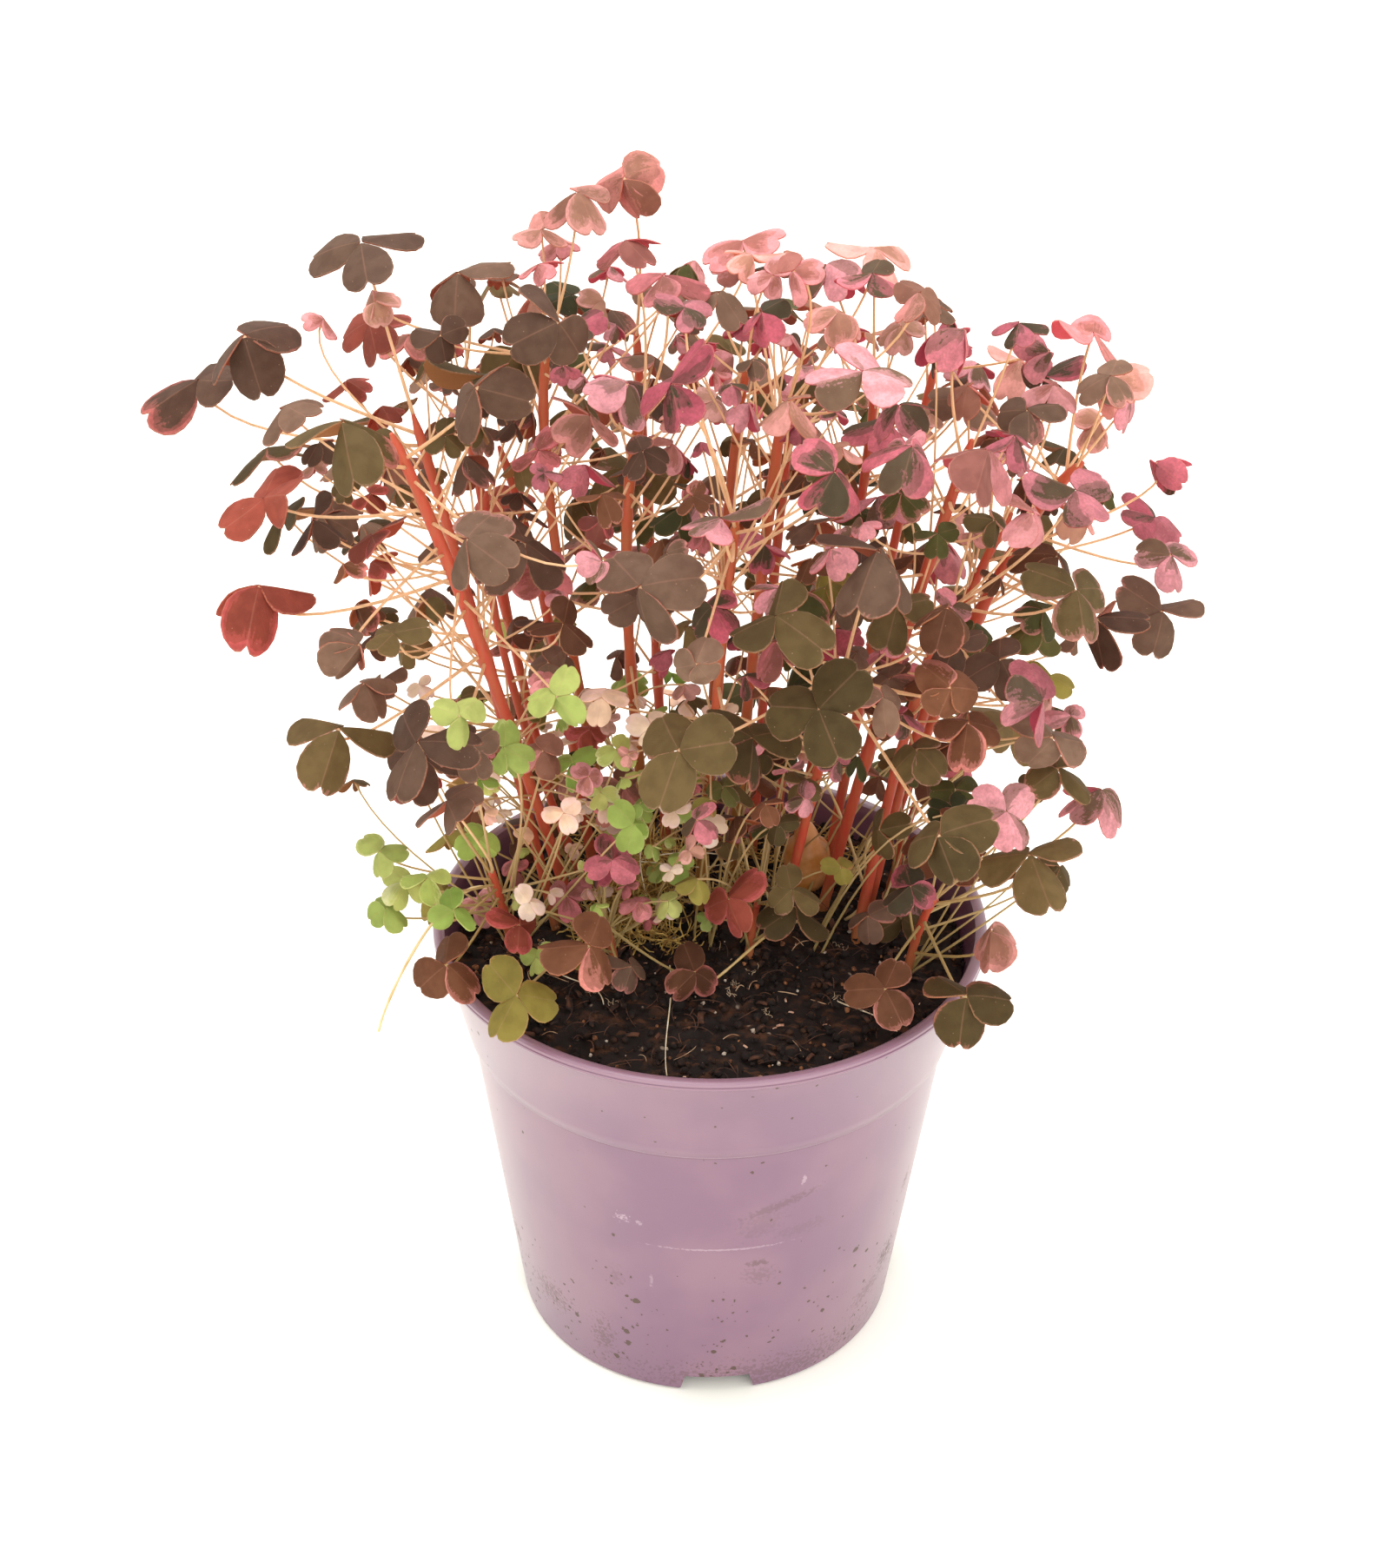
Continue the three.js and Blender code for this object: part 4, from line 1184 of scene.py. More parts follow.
    def find_roots(self) -> None:
        """Lists the places on all stems from which a leaf may grow."""
        shares = 0.98 - np.arange(25) * 0.025
        self.root_points = np.concatenate([stem.line.at(shares) for stem in self.stems])
        self.root_shares = np.tile(shares, len(self.stems))
        self.root_stems = np.repeat(np.arange(len(self.stems)), len(shares))

    def roots_for(self, hub: np.ndarray, normal: np.ndarray) -> list[int]:
        """Finds the places on the stems that suit a leaf.

        Args:
            hub: Where its leaflets meet.
            normal: The way its upper face looks.

        Returns:
            Their numbers, the best first.
        """
        way = hub - self.root_points
        reach = np.sqrt((way**2).sum(axis=1))
        under = way @ normal / reach
        shortest, longest = self.root_reach
        suits = (reach > shortest) & (reach < longest) & (under > 0.1) & (way[:, 2] > -0.25 * reach)
        cost = np.abs(reach - self.best_reach) + 30 * (1 - under) + 20 * (1 - self.root_shares)
        numbers = np.flatnonzero(suits)
        return list(numbers[np.argsort(cost[numbers], kind="stable")][:14])

    def settle(self, leaf: Leaf, stem: Stem, root: np.ndarray, guard: float) -> bool:
        """Puts a leaf on a stem if nothing is in its way.

        Args:
            leaf: The leaf.
            stem: The stem that would bear it.
            root: Where its petiole would start.
            guard: Radius of the guarding balls as a share of a leaflet's length.

        Returns:
            True if the leaf is on the stem.
        """
        leaf.root = root
        leaf.owner = stem.name
        balls = [*leaf_balls(leaf, guard), *petiole_balls(leaf)]
        if any(hits_pot(ball) for ball in balls) or not self.crowd.is_clear(balls, root):
            return False
        self.crowd.add(balls)
        stem.leaves.append(leaf)
        return True

    def place(self, row: Row, guard: float) -> Leaf | None:
        """Places a leaf from its row, sliding it along the line of sight until it is clear.

        Args:
            row: Look, hub, azimuth, elevation, spin, length, droop.
            guard: Radius of the guarding balls as a share of a leaflet's length.

        Returns:
            The leaf, or None if there is no room.
        """
        look, at, azimuth, elevation, *turn = row
        first = np.array(at, dtype=float)
        sight = first - self.eye
        sight /= np.sqrt((sight**2).sum())
        a, e = math.radians(azimuth), math.radians(elevation)
        normal = np.array([math.sin(a) * math.cos(e), -math.cos(a) * math.cos(e), math.sin(e)])
        for slide in self.slides:
            hub = first + sight * slide
            leaf = Leaf.facing(Look(look), hub, normal, turn)
            for root in self.roots_for(hub, normal):
                if self.settle(leaf, self.stems[self.root_stems[root]], self.root_points[root], guard):
                    return leaf
        return None

    def hides_one(self, leaf: Leaf) -> bool:
        """Tells whether a leaf would stand in front of one of the listed leaves.

        Args:
            leaf: The leaf.

        Returns:
            True if it would.
        """
        sight = leaf.hub - self.eye
        distance = math.sqrt((sight**2).sum())
        for other in self.seen:
            other_sight = other.hub - self.eye
            other_distance = math.sqrt((other_sight**2).sum())
            if distance > other_distance + 4:
                continue
            angle = math.acos(min(1.0, float(sight @ other_sight) / distance / other_distance))
            if angle * distance < 0.8 * (leaf.length + other.length):
                return True
        return False

    def place_on_stem(self, hub: np.ndarray) -> np.ndarray:
        """Finds the nearest place on a stem that is at least 5 mm lower than a hub.

        Args:
            hub: The hub.

        Returns:
            The place.
        """
        places = np.concatenate([stem.line.at(np.linspace(0.02, 0.7, 60)) for stem in self.stems])
        lower = places[places[:, 2] < max(hub[2] - 5, 96)]
        return lower[np.argmin(((lower - hub) ** 2).sum(axis=1))]

    def hides_peat(self, hub: np.ndarray) -> bool:
        """Tells whether a hub stands before the peat that is open to the front.

        Args:
            hub: The hub.

        Returns:
            True if it does.
        """
        soil_level, half_width, back = 93, 37, -12
        share = (self.eye[2] - soil_level) / (self.eye[2] - hub[2])
        x, y, _ = self.eye + (hub - self.eye) * share
        return bool(abs(x + 1) < half_width and y < back)

    @staticmethod
    def is_in_room(hub: np.ndarray) -> bool:
        """Tells whether a hub is in the egg-shaped room that the plant may fill."""
        x, y, z = (hub - np.array([-4, 6, 166])) / np.array([100, 88, 80])
        return bool(hub[2] > 112 and x * x + y * y + z * z < 1)

    def add_leaf(self, stem: Stem, number: int, draw: Draw, rule: GrowthRule) -> None:
        """Adds one leaf to a stem at random, if a try finds room for it.

        Args:
            stem: The stem.
            number: How many leaves the rule has given it before.
            draw: Where the random numbers come from.
            rule: The sizes to draw.
        """
        for i in range(rule.tries):
            share = 0.98 - rule.top_share * draw.next() ** 1.6
            root = stem.line.at(share)
            turn = number * GOLDEN_ANGLE + i * 2 * math.pi / 7 + draw.next()
            rise = math.radians(draw.between(*rule.rise))
            reach = draw.between(*rule.petiole)
            out = np.array([math.cos(turn), math.sin(turn), 0.0])
            hub = root + out * (reach * math.cos(rise)) + np.array([0, 0, reach * math.sin(rise)])
            lean = draw.between(0.25, 0.75)
            normal = out * lean + np.array([draw.between(-0.15, 0.15), draw.between(-0.25, 0.05), 1.0])
            normal /= np.sqrt((normal**2).sum())
            spin = draw.between(0, 120)
            length = draw.between(*rule.length)
            leaf = Leaf.facing(Look.PLUM, hub, normal, (spin, length, draw.between(*rule.droop)))
            is_welcome = self.is_in_room(hub) and not self.hides_one(leaf)
            if is_welcome and self.settle(leaf, stem, root, rule.guard):
                leaf.look = look_at(hub, self.looks.next())
                return

    def add_patch(self, patch: Patch) -> list[Leaf]:
        """Adds the leaves of a patch, each on a stalk of its own from the soil.

        Args:
            patch: Where they grow and how large.

        Returns:
            The leaves.
        """
        draw = Draw(patch.seed)
        leaves: list[Leaf] = []
        for _ in range(patch.count * patch.tries):
            hub = np.array([draw.between(*patch.x), draw.between(*patch.y), draw.between(*patch.z)])
            inward = patch.inward * draw.between(0.55, 1.15)
            foot = hub[:2] * inward + np.array([draw.between(-7, 7), draw.between(-7, 7)])
            foot[1] = max(foot[1], draw.between(-8, 2))
            foot *= min(1.0, 50 / math.hypot(foot[0], foot[1]))
            root = self.place_on_stem(hub) if patch.on_stems else np.array([*foot, soil_height(*foot) - 0.5])
            normal = np.array([draw.between(-0.5, 0.5), draw.between(-0.9, 0.2), 1.0])
            normal += 0.008 * np.array([*hub[:2], 0])
            normal /= np.sqrt((normal**2).sum())
            turn = (draw.between(0, 120), draw.between(*patch.length), draw.between(0, 45))
            leaf = Leaf.facing(look_at(hub, draw.next()), hub, normal, turn)
            if patch.looks:
                leaf.look = Look(draw.among(patch.looks))
            leaf.root, leaf.owner, leaf.is_young = root, patch.name, True
            balls = leaf_balls(leaf, self.extra_rule.guard)
            is_free = not any(hits_pot(ball) for ball in balls) and self.crowd.is_clear(balls, root)
            if is_free and not self.hides_peat(hub) and (patch.may_hide or not self.hides_one(leaf)):
                self.crowd.add(balls)
                leaves.append(leaf)
            if len(leaves) == patch.count:
                break
        return leaves


# Patterns that are modelled once and then laid along the plant's own curves

# The attributes that carry a leaf's colours
LEAF_COLOURS = ("ground", "marking", "under")


@dataclass
class LeafPattern:
    """The flat leaf from which every leaf is made, three equal leaflets with a closed thin blade.

    A leaflet's x runs from its foot (0) to its tip (1), its y across it (-1 to 1), and its z is the lift from
    the blade's middle surface in millimetres.

    Attributes:
        columns: Places of the cross lines along the leaflet.
        widths: The half width at each of them.
        rows: Places of the long lines across the leaflet.
        reaches: How far each of them runs towards the tip, which cuts the notch.
        thickness: The blade's thickness.
    """

    columns: tuple[float, ...] = (0.02, 0.08, 0.2, 0.36, 0.54, 0.72, 0.88, 1.0)
    widths: tuple[float, ...] = (0.05, 0.27, 0.62, 0.86, 0.98, 1.0, 0.87, 0.6)
    rows: tuple[float, ...] = (-1.0, -0.66, -0.3, 0.0, 0.3, 0.66, 1.0)
    reaches: tuple[float, ...] = (0.95, 0.995, 0.985, 0.9, 0.985, 0.995, 0.95)
    thickness: float = 0.3

    def model(self) -> Piece:
        """Models the leaf.

        Returns:
            The pattern object, to be removed when all leaves are made.
        """
        deselect_all()
        bpy.ops.mesh.primitive_grid_add(
            x_subdivisions=len(self.columns) - 1, y_subdivisions=len(self.rows) - 1, size=2.0
        )
        leaflet = bpy.context.object
        places = places_of(leaflet)
        column = np.rint((places[:, 0] + 1) / 2 * (len(self.columns) - 1)).astype(int)
        row = np.rint((places[:, 1] + 1) / 2 * (len(self.rows) - 1)).astype(int)
        with editing(leaflet):
            for number, place in enumerate(self.rows):
                select_vertices(leaflet, row == number)
                now = -1 + 2 * number / (len(self.rows) - 1)
                bpy.ops.transform.translate(value=(0, place - now, 0))
            for number, (place, width) in enumerate(zip(self.columns, self.widths)):
                select_vertices(leaflet, column == number)
                now = -1 + 2 * number / (len(self.columns) - 1)
                bpy.ops.transform.translate(value=(place - now, 0, 0))
                bpy.ops.transform.resize(value=(1, width, 1), center_override=(0, 0, 0))
            for number, reach in enumerate(self.reaches):
                select_vertices(leaflet, row == number)
                bpy.ops.transform.resize(value=(reach, 1, 1), center_override=(0, 0, 0))
        finish_modifier(leaflet, "SOLIDIFY", thickness=self.thickness, offset=0)
        return self.dress(joined([leaflet, copy_of(leaflet), copy_of(leaflet)], "leaf_pattern"))

    @staticmethod
    def dress(leaf: Piece) -> Piece:
        """Adds the attributes that carry each leaf's colours, and tells the underside from the upper side.

        Args:
            leaf: The pattern.

        Returns:
            The pattern.
        """
        attributes = leaf.data.attributes
        for name in LEAF_COLOURS:
            attributes.new(name, "FLOAT_COLOR", "POINT")
        attributes.new("pattern", "FLOAT_VECTOR", "POINT")
        underside = attributes.new("underside", "FLOAT", "POINT")
        underside.data.foreach_set("value", (places_of(leaf)[:, 2] < 0).astype(np.float32))
        return leaf


@dataclass(frozen=True)
class RodPattern:
    """A straight round rod of radius 1 and height 1 with even rings, from which stalks are bent.

    Attributes:
        sides: How many sides it has.
        steps: How many rings of faces.
    """

    sides: int
    steps: int

    def model(self) -> Piece:
        """Models the rod.

        Returns:
            The rod.
        """
        deselect_all()
        bpy.ops.mesh.primitive_cylinder_add(vertices=self.sides, radius=1, depth=1, location=(0, 0, 0.5))
        rod = bpy.context.object
        bpy.ops.object.transform_apply(location=True)
        with editing(rod):
            mesh = bmesh.from_edit_mesh(rod.data)
            for edge in mesh.edges:
                edge.select_set(abs(edge.verts[0].co.z - edge.verts[1].co.z) > 0.5)
            bmesh.update_edit_mesh(rod.data)
            bpy.ops.mesh.subdivide(number_cuts=self.steps - 1)
        along = rod.data.attributes.new("along", "FLOAT", "POINT")
        along.data.foreach_set("value", places_of(rod)[:, 2].astype(np.float32))
        return rod

    def laid(self, places: np.ndarray, line: np.ndarray, radii: np.ndarray) -> np.ndarray:
        """Lays the rod's vertices along a line.

        Args:
            places: The pattern's vertices.
            line: The middle line, one point for each ring.
            radii: The radius at each of them.

        Returns:
            The vertices' new places.
        """
        ways = np.gradient(line, axis=0)
        ways /= np.linalg.norm(ways, axis=1)[:, None]
        side = np.cross(ways[0], [0.31, 0.87, 0.39])
        sides = np.empty_like(line)
        for ring, way in enumerate(ways):
            side = side - (side @ way) * way
            side /= np.linalg.norm(side)
            sides[ring] = side
        others = np.cross(ways, sides)
        ring = np.rint(places[:, 2] * self.steps).astype(int)
        x, y = (places[:, :2] * radii[ring][:, None]).T
        return line[ring] + sides[ring] * x[:, None] + others[ring] * y[:, None]


# Leaf colours


@dataclass(frozen=True)
class LeafTones:
    """The colours of one look.

    Attributes:
        ground: The upper side's main colour, from and to.
        marking: The colour of the marked part, from and to.
        under: The underside's colour.
        spread: How much of the leaflet is marked, from and to, in shares.
        plain: How often a leaflet has no marking at all.
    """

    ground: tuple[str, str]
    marking: tuple[str, str]
    under: str
    spread: Span
    plain: float


TONES: dict[Look, LeafTones] = {
    Look.PLUM: LeafTones(("#574034", "#8c6f5c"), ("#c16561", "#f0a49c"), "#ac5841", (0.1, 0.3), 0.88),
    Look.OLIVE: LeafTones(("#4c3f26", "#7f6a44"), ("#c46f65", "#f0a8a0"), "#a46b43", (0.1, 0.3), 0.88),
    Look.GREEN: LeafTones(("#3c3d24", "#6a663a"), ("#c46f65", "#f0a8a0"), "#8d673d", (0.1, 0.3), 0.85),
    Look.BROWN: LeafTones(("#533728", "#80543c"), ("#c16561", "#ee9c92"), "#b9633c", (0.15, 0.4), 0.85),
    Look.GOLDEN: LeafTones(("#7d7238", "#a4984c"), ("#c28654", "#daa265"), "#b98d50", (0.1, 0.3), 0.85),
    Look.LIME: LeafTones(("#8aa44e", "#dcde88"), ("#dce294", "#f2f0c0"), "#bcc86e", (0.1, 0.3), 0.7),
    Look.RED: LeafTones(("#72382c", "#a85444"), ("#b24844", "#da7270"), "#b9533e", (0.15, 0.45), 0.45),
    Look.DUSTY: LeafTones(("#8c5f50", "#be9078"), ("#da8682", "#f4bab2"), "#c46652", (0.3, 0.6), 0.3),
    Look.ROSE: LeafTones(("#8e5850", "#bc7c70"), ("#d6747c", "#f2b2b4"), "#cc5660", (0.4, 0.8), 0.12),
    Look.PEACH: LeafTones(("#a0705c", "#d0a08c"), ("#ea9f98", "#fac6be"), "#d08468", (0.4, 0.8), 0.1),
    Look.PINK: LeafTones(("#454230", "#7a6450"), ("#c85e70", "#f6b2ba"), "#c85066", (0.3, 0.9), 0.04),
    Look.PALE: LeafTones(("#ecc6a4", "#fdecd4"), ("#fad2c8", "#fff0e6"), "#e8b896", (0.3, 0.8), 0.2),
}


# Leaves with little green in them stay smaller.
PALE_LOOKS = (Look.PINK, Look.ROSE, Look.PEACH, Look.PALE)


def mixed(colours: tuple[str, str], share: float) -> np.ndarray:
    """Returns a linear colour between two hex colours."""
    first, last = (np.array(linear(colour)) for colour in colours)
    return first + (last - first) * share


@dataclass(frozen=True)
class LeafSkin:
    """Living leaf skin: matt and slightly rough from its fine hairs, thin enough to let light through.

    Attributes:
        roughness: Typical of a matt, hairy leaf.
        through: The share of light that the blade lets through.
        rim: The colour of the fine pale edge that the hairs draw round each leaflet.
        vein: The colour of the midrib.
        shade: What the darker blotches are multiplied by.
        blotch: The width of the tissue's soft blotches in millimetres.
        grain: The width of its finer ones.
        speckle: The grain of the marked part's border.
        hair_gap: The spacing of the pale dots, drawn coarser than the hairs so that they show.
    """

    roughness: float = 0.62
    through: float = 0.36
    rim: str = "#cfa286"
    vein: str = "#c98f78"
    shade: str = "#8a7f74"
    blotch: float = 3.0
    grain: float = 0.55
    speckle: float = 0.5
    hair_gap: float = 0.9

    def material(self) -> Material:
        """Builds the material.

        Returns:
            The material.
        """
        material, tree = new_material("living_leaf_skin")
        ground, marking, under = (add_node(tree, "Attribute", attribute_name=name) for name in LEAF_COLOURS)
        pattern = add_node(tree, "Attribute", attribute_name="pattern").outputs["Vector"]
        underside = add_node(tree, "Attribute", attribute_name="underside").outputs["Fac"]
        along, row, _ = add_node(tree, "SeparateXYZ", {0: add_node(tree, "UVMap", uv_map="UVMap")}).outputs
        centred = add_node(tree, "Math", {0: row, 1: 2.0, 2: -1.0}, operation="MULTIPLY_ADD")
        across = add_node(tree, "Math", {0: centred}, operation="ABSOLUTE")
        edge = add_node(tree, "Math", {0: across, 1: along}, operation="MAXIMUM")
        midrib = add_node(tree, "MapRange", {0: across, 1: 0.06, 2: 0.01}, **SOFT_STEP)
        blotches, grain = (self.mottle(tree, pattern, size) for size in (self.blotch, self.grain))
        flushed = layered(tree, marking, (grain, 0.26, ground), (blotches, 0.12, ground))
        colour = layered(
            tree,
            ground,
            (self.marked(tree, edge, pattern), 1.0, flushed),
            (blotches, 0.28, linear(self.shade), "MULTIPLY"),
            (midrib, 0.16, linear(self.vein)),
            (self.hairs(tree, edge), 1.0, linear(self.rim)),
            (underside, 0.85, under),
        )
        inputs = {"Base Color": colour, "Roughness": self.roughness, "Specular IOR Level": 0.12}
        inputs["Normal"] = self.relief(tree, along, across)
        let_light_through(tree, inputs, layered(tree, colour, (0.35, 1.0, under)), self.through)
        return material

    def marked(self, tree: Tree, edge: Any, pattern: Any) -> Any:
        """Tells where the leaflet is marked.

        Args:
            tree: The material's node tree.
            edge: Nearness to the leaflet's edge.
            pattern: The leaflet's own spread, lean and seed.

        Returns:
            A share of 1 in the marked part, and less in a speckled border that runs along the veins.
        """
        spread, lean, seed = add_node(tree, "SeparateXYZ", {0: pattern}).outputs
        place = add_node(tree, "UVMap", uv_map="UVMap")
        _, row, _ = add_node(tree, "SeparateXYZ", {0: place}).outputs
        shift = add_node(tree, "VectorMath", {0: (13, 29, 0), 1: seed}, operation="MULTIPLY")
        streaks = []
        for stretch, scale in (((1.1, 3.4, 1), 1.0), ((2.2, 7.5, 1), 1.6)):
            stretched = add_node(tree, "Mapping", {"Vector": place, "Location": shift, "Scale": stretch})
            streaks.append(add_node(tree, "TexNoise", {"Vector": stretched, "Scale": scale, "Detail": 4.0}))
        smooth, torn = streaks
        sided = add_node(tree, "Math", {0: row, 1: -0.5}, operation="ADD")
        leaning = add_node(tree, "Math", {0: sided, 1: lean, 2: 0.5}, operation="MULTIPLY_ADD")
        steepness = add_node(tree, "Math", {0: lean}, operation="ABSOLUTE")
        margin = add_node(tree, "Math", {0: edge, 1: 2.0}, operation="POWER")
        nearness = add_node(tree, "Mix", {0: steepness, 2: margin, 3: leaning}, data_type="FLOAT")
        reached = add_node(tree, "Math", {0: nearness, 1: spread}, operation="ADD")
        clear = add_node(tree, "Math", {0: smooth, 1: 0.55, 2: reached}, operation="MULTIPLY_ADD")
        broken = add_node(tree, "Math", {0: torn, 1: 0.8, 2: reached}, operation="MULTIPLY_ADD")
        spot = add_node(tree, "TexCoord").outputs["Object"]
        size = MILLIMETRES / self.speckle
        speckle = add_node(tree, "TexNoise", {"Vector": spot, "Scale": size, "Detail": 1.0})
        grained = add_node(tree, "Math", {0: speckle, 1: 0.3, 2: broken}, operation="MULTIPLY_ADD")
        middle = add_node(tree, "MapRange", {0: clear, 1: 1.33, 2: 1.36, 4: 0.55}, **SOFT_STEP)
        border = add_node(tree, "MapRange", {0: grained, 1: 1.38, 2: 1.48, 4: 0.45}, **SOFT_STEP)
        return add_node(tree, "Math", {0: middle, 1: border}, operation="ADD")

    @staticmethod
    def mottle(tree: Tree, pattern: Any, size: float) -> Any:
        """Draws soft blotches, as the leaf's tissue shows.

        Args:
            tree: The material's node tree.
            pattern: The leaflet's own spread, lean and seed.
            size: The blotches' width in millimetres.

        Returns:
            The share of a blotch at each point.
        """
        _, _, seed = add_node(tree, "SeparateXYZ", {0: pattern}).outputs
        place = add_node(tree, "TexCoord").outputs["Object"]
        inputs = {"Vector": place, "W": seed, "Scale": MILLIMETRES / size, "Detail": 4.0}
        spots = add_node(tree, "TexNoise", inputs, noise_dimensions="4D")
        return add_node(tree, "MapRange", {0: spots, 1: 0.36, 2: 0.66}, **SOFT_STEP)

    def hairs(self, tree: Tree, edge: Any) -> Any:
        """Draws the pale line of fine hairs along the edge, and a few dots of 0.15 mm over the blade.

        Args:
            tree: The material's node tree.
            edge: Nearness to the leaflet's edge.

        Returns:
            How clearly the hairs show at each point.
        """
        place = add_node(tree, "TexCoord").outputs["Object"]
        broken = add_node(tree, "TexNoise", {"Vector": place, "Scale": MILLIMETRES / 0.35})
        line = add_node(tree, "MapRange", {0: edge, 1: 0.955, 2: 1.0}, **SOFT_STEP)
        share = add_node(tree, "MapRange", {0: broken, 1: 0.35, 2: 0.65, 3: 0.1, 4: 0.42})
        rim = add_node(tree, "Math", {0: line, 1: share}, operation="MULTIPLY")
        cells = add_node(tree, "TexVoronoi", {"Vector": place, "Scale": MILLIMETRES / self.hair_gap})
        chance = add_node(tree, "SeparateXYZ", {0: cells.outputs["Color"]})
        chosen = add_node(tree, "Math", {0: chance, 1: 0.12}, operation="LESS_THAN")
        dot = add_node(tree, "MapRange", {0: cells, 1: 0.16, 2: 0.06, 4: 0.5}, **SOFT_STEP)
        return add_node(tree, "Math", {0: dot, 1: chosen, 2: rim}, operation="MULTIPLY_ADD")

    @staticmethod
    def relief(tree: Tree, along: Any, across: Any) -> Any:
        """Raises the side veins, which leave the midrib every 1.5 mm, and the fine grain between them.

        Args:
            tree: The material's node tree.
            along: Place along the leaflet.
            across: Distance from the midrib.

        Returns:
            The bent normal.
        """
        slanted = add_node(tree, "Math", {0: across, 1: -0.6, 2: along}, operation="MULTIPLY_ADD")
        turns = add_node(tree, "Math", {0: slanted, 1: 50}, operation="MULTIPLY")
        wave = add_node(tree, "Math", {0: turns}, operation="SINE")
        veins = add_node(tree, "MapRange", {0: wave, 1: 0.75, 2: 1.0, 4: 0.5}, **SOFT_STEP)
        place = add_node(tree, "TexCoord").outputs["Object"]
        grain = add_node(tree, "TexNoise", {"Vector": place, "Scale": MILLIMETRES / 0.6, "Detail": 2.0})
        height = add_node(tree, "Math", {0: veins, 1: grain}, operation="ADD")
        return add_node(tree, "Bump", {"Strength": 0.35, "Distance": 0.0001, "Height": height})


@dataclass(frozen=True)
class StalkSkin:
    """Smooth fleshy stalk skin with a soft wax gloss: tan at the soil and redder upwards.

    Attributes:
        name: The material's name.
        low: The colour near the soil.
        high: The colour above.
        heights: Between which heights the one turns into the other, in millimetres.
        through: The share of light that the stalk scatters through.
    """

    name: str
    low: str
    high: str
    heights: Span
    through: float

    def material(self) -> Material:
        """Builds the material.

        Returns:
            The material.
        """
        material, tree = new_material(self.name)
        place = add_node(tree, "TexCoord").outputs["Object"]
        _, _, height = add_node(tree, "SeparateXYZ", {0: place}).outputs
        streaks = add_node(tree, "Mapping", {"Vector": place, "Scale": (1000, 1000, 120)})
        blotches = add_node(tree, "TexNoise", {"Vector": streaks, "Scale": 1.0, "Detail": 3.0})
        swayed = add_node(tree, "Math", {0: blotches, 1: 0.02, 2: height}, operation="MULTIPLY_ADD")
        bottom, top = (value / MILLIMETRES for value in self.heights)
        rise = add_node(tree, "MapRange", {0: swayed, 1: bottom, 2: top}, **SOFT_STEP)
        shade = add_node(tree, "MapRange", {0: blotches, 1: 0.3, 2: 0.75, 4: 0.5})
        low, high = linear(self.low), linear(self.high)
        colour = layered(tree, low, (rise, 1.0, high), (shade, 1.0, low))
        inputs = {"Base Color": colour, "Roughness": 0.45, "Specular IOR Level": 0.4}
        inputs["Normal"] = add_node(tree, "Bump", {"Strength": 0.3, "Distance": 0.0002, "Height": blotches})
        let_light_through(tree, inputs, colour, self.through)
        return material


# The leafy stems


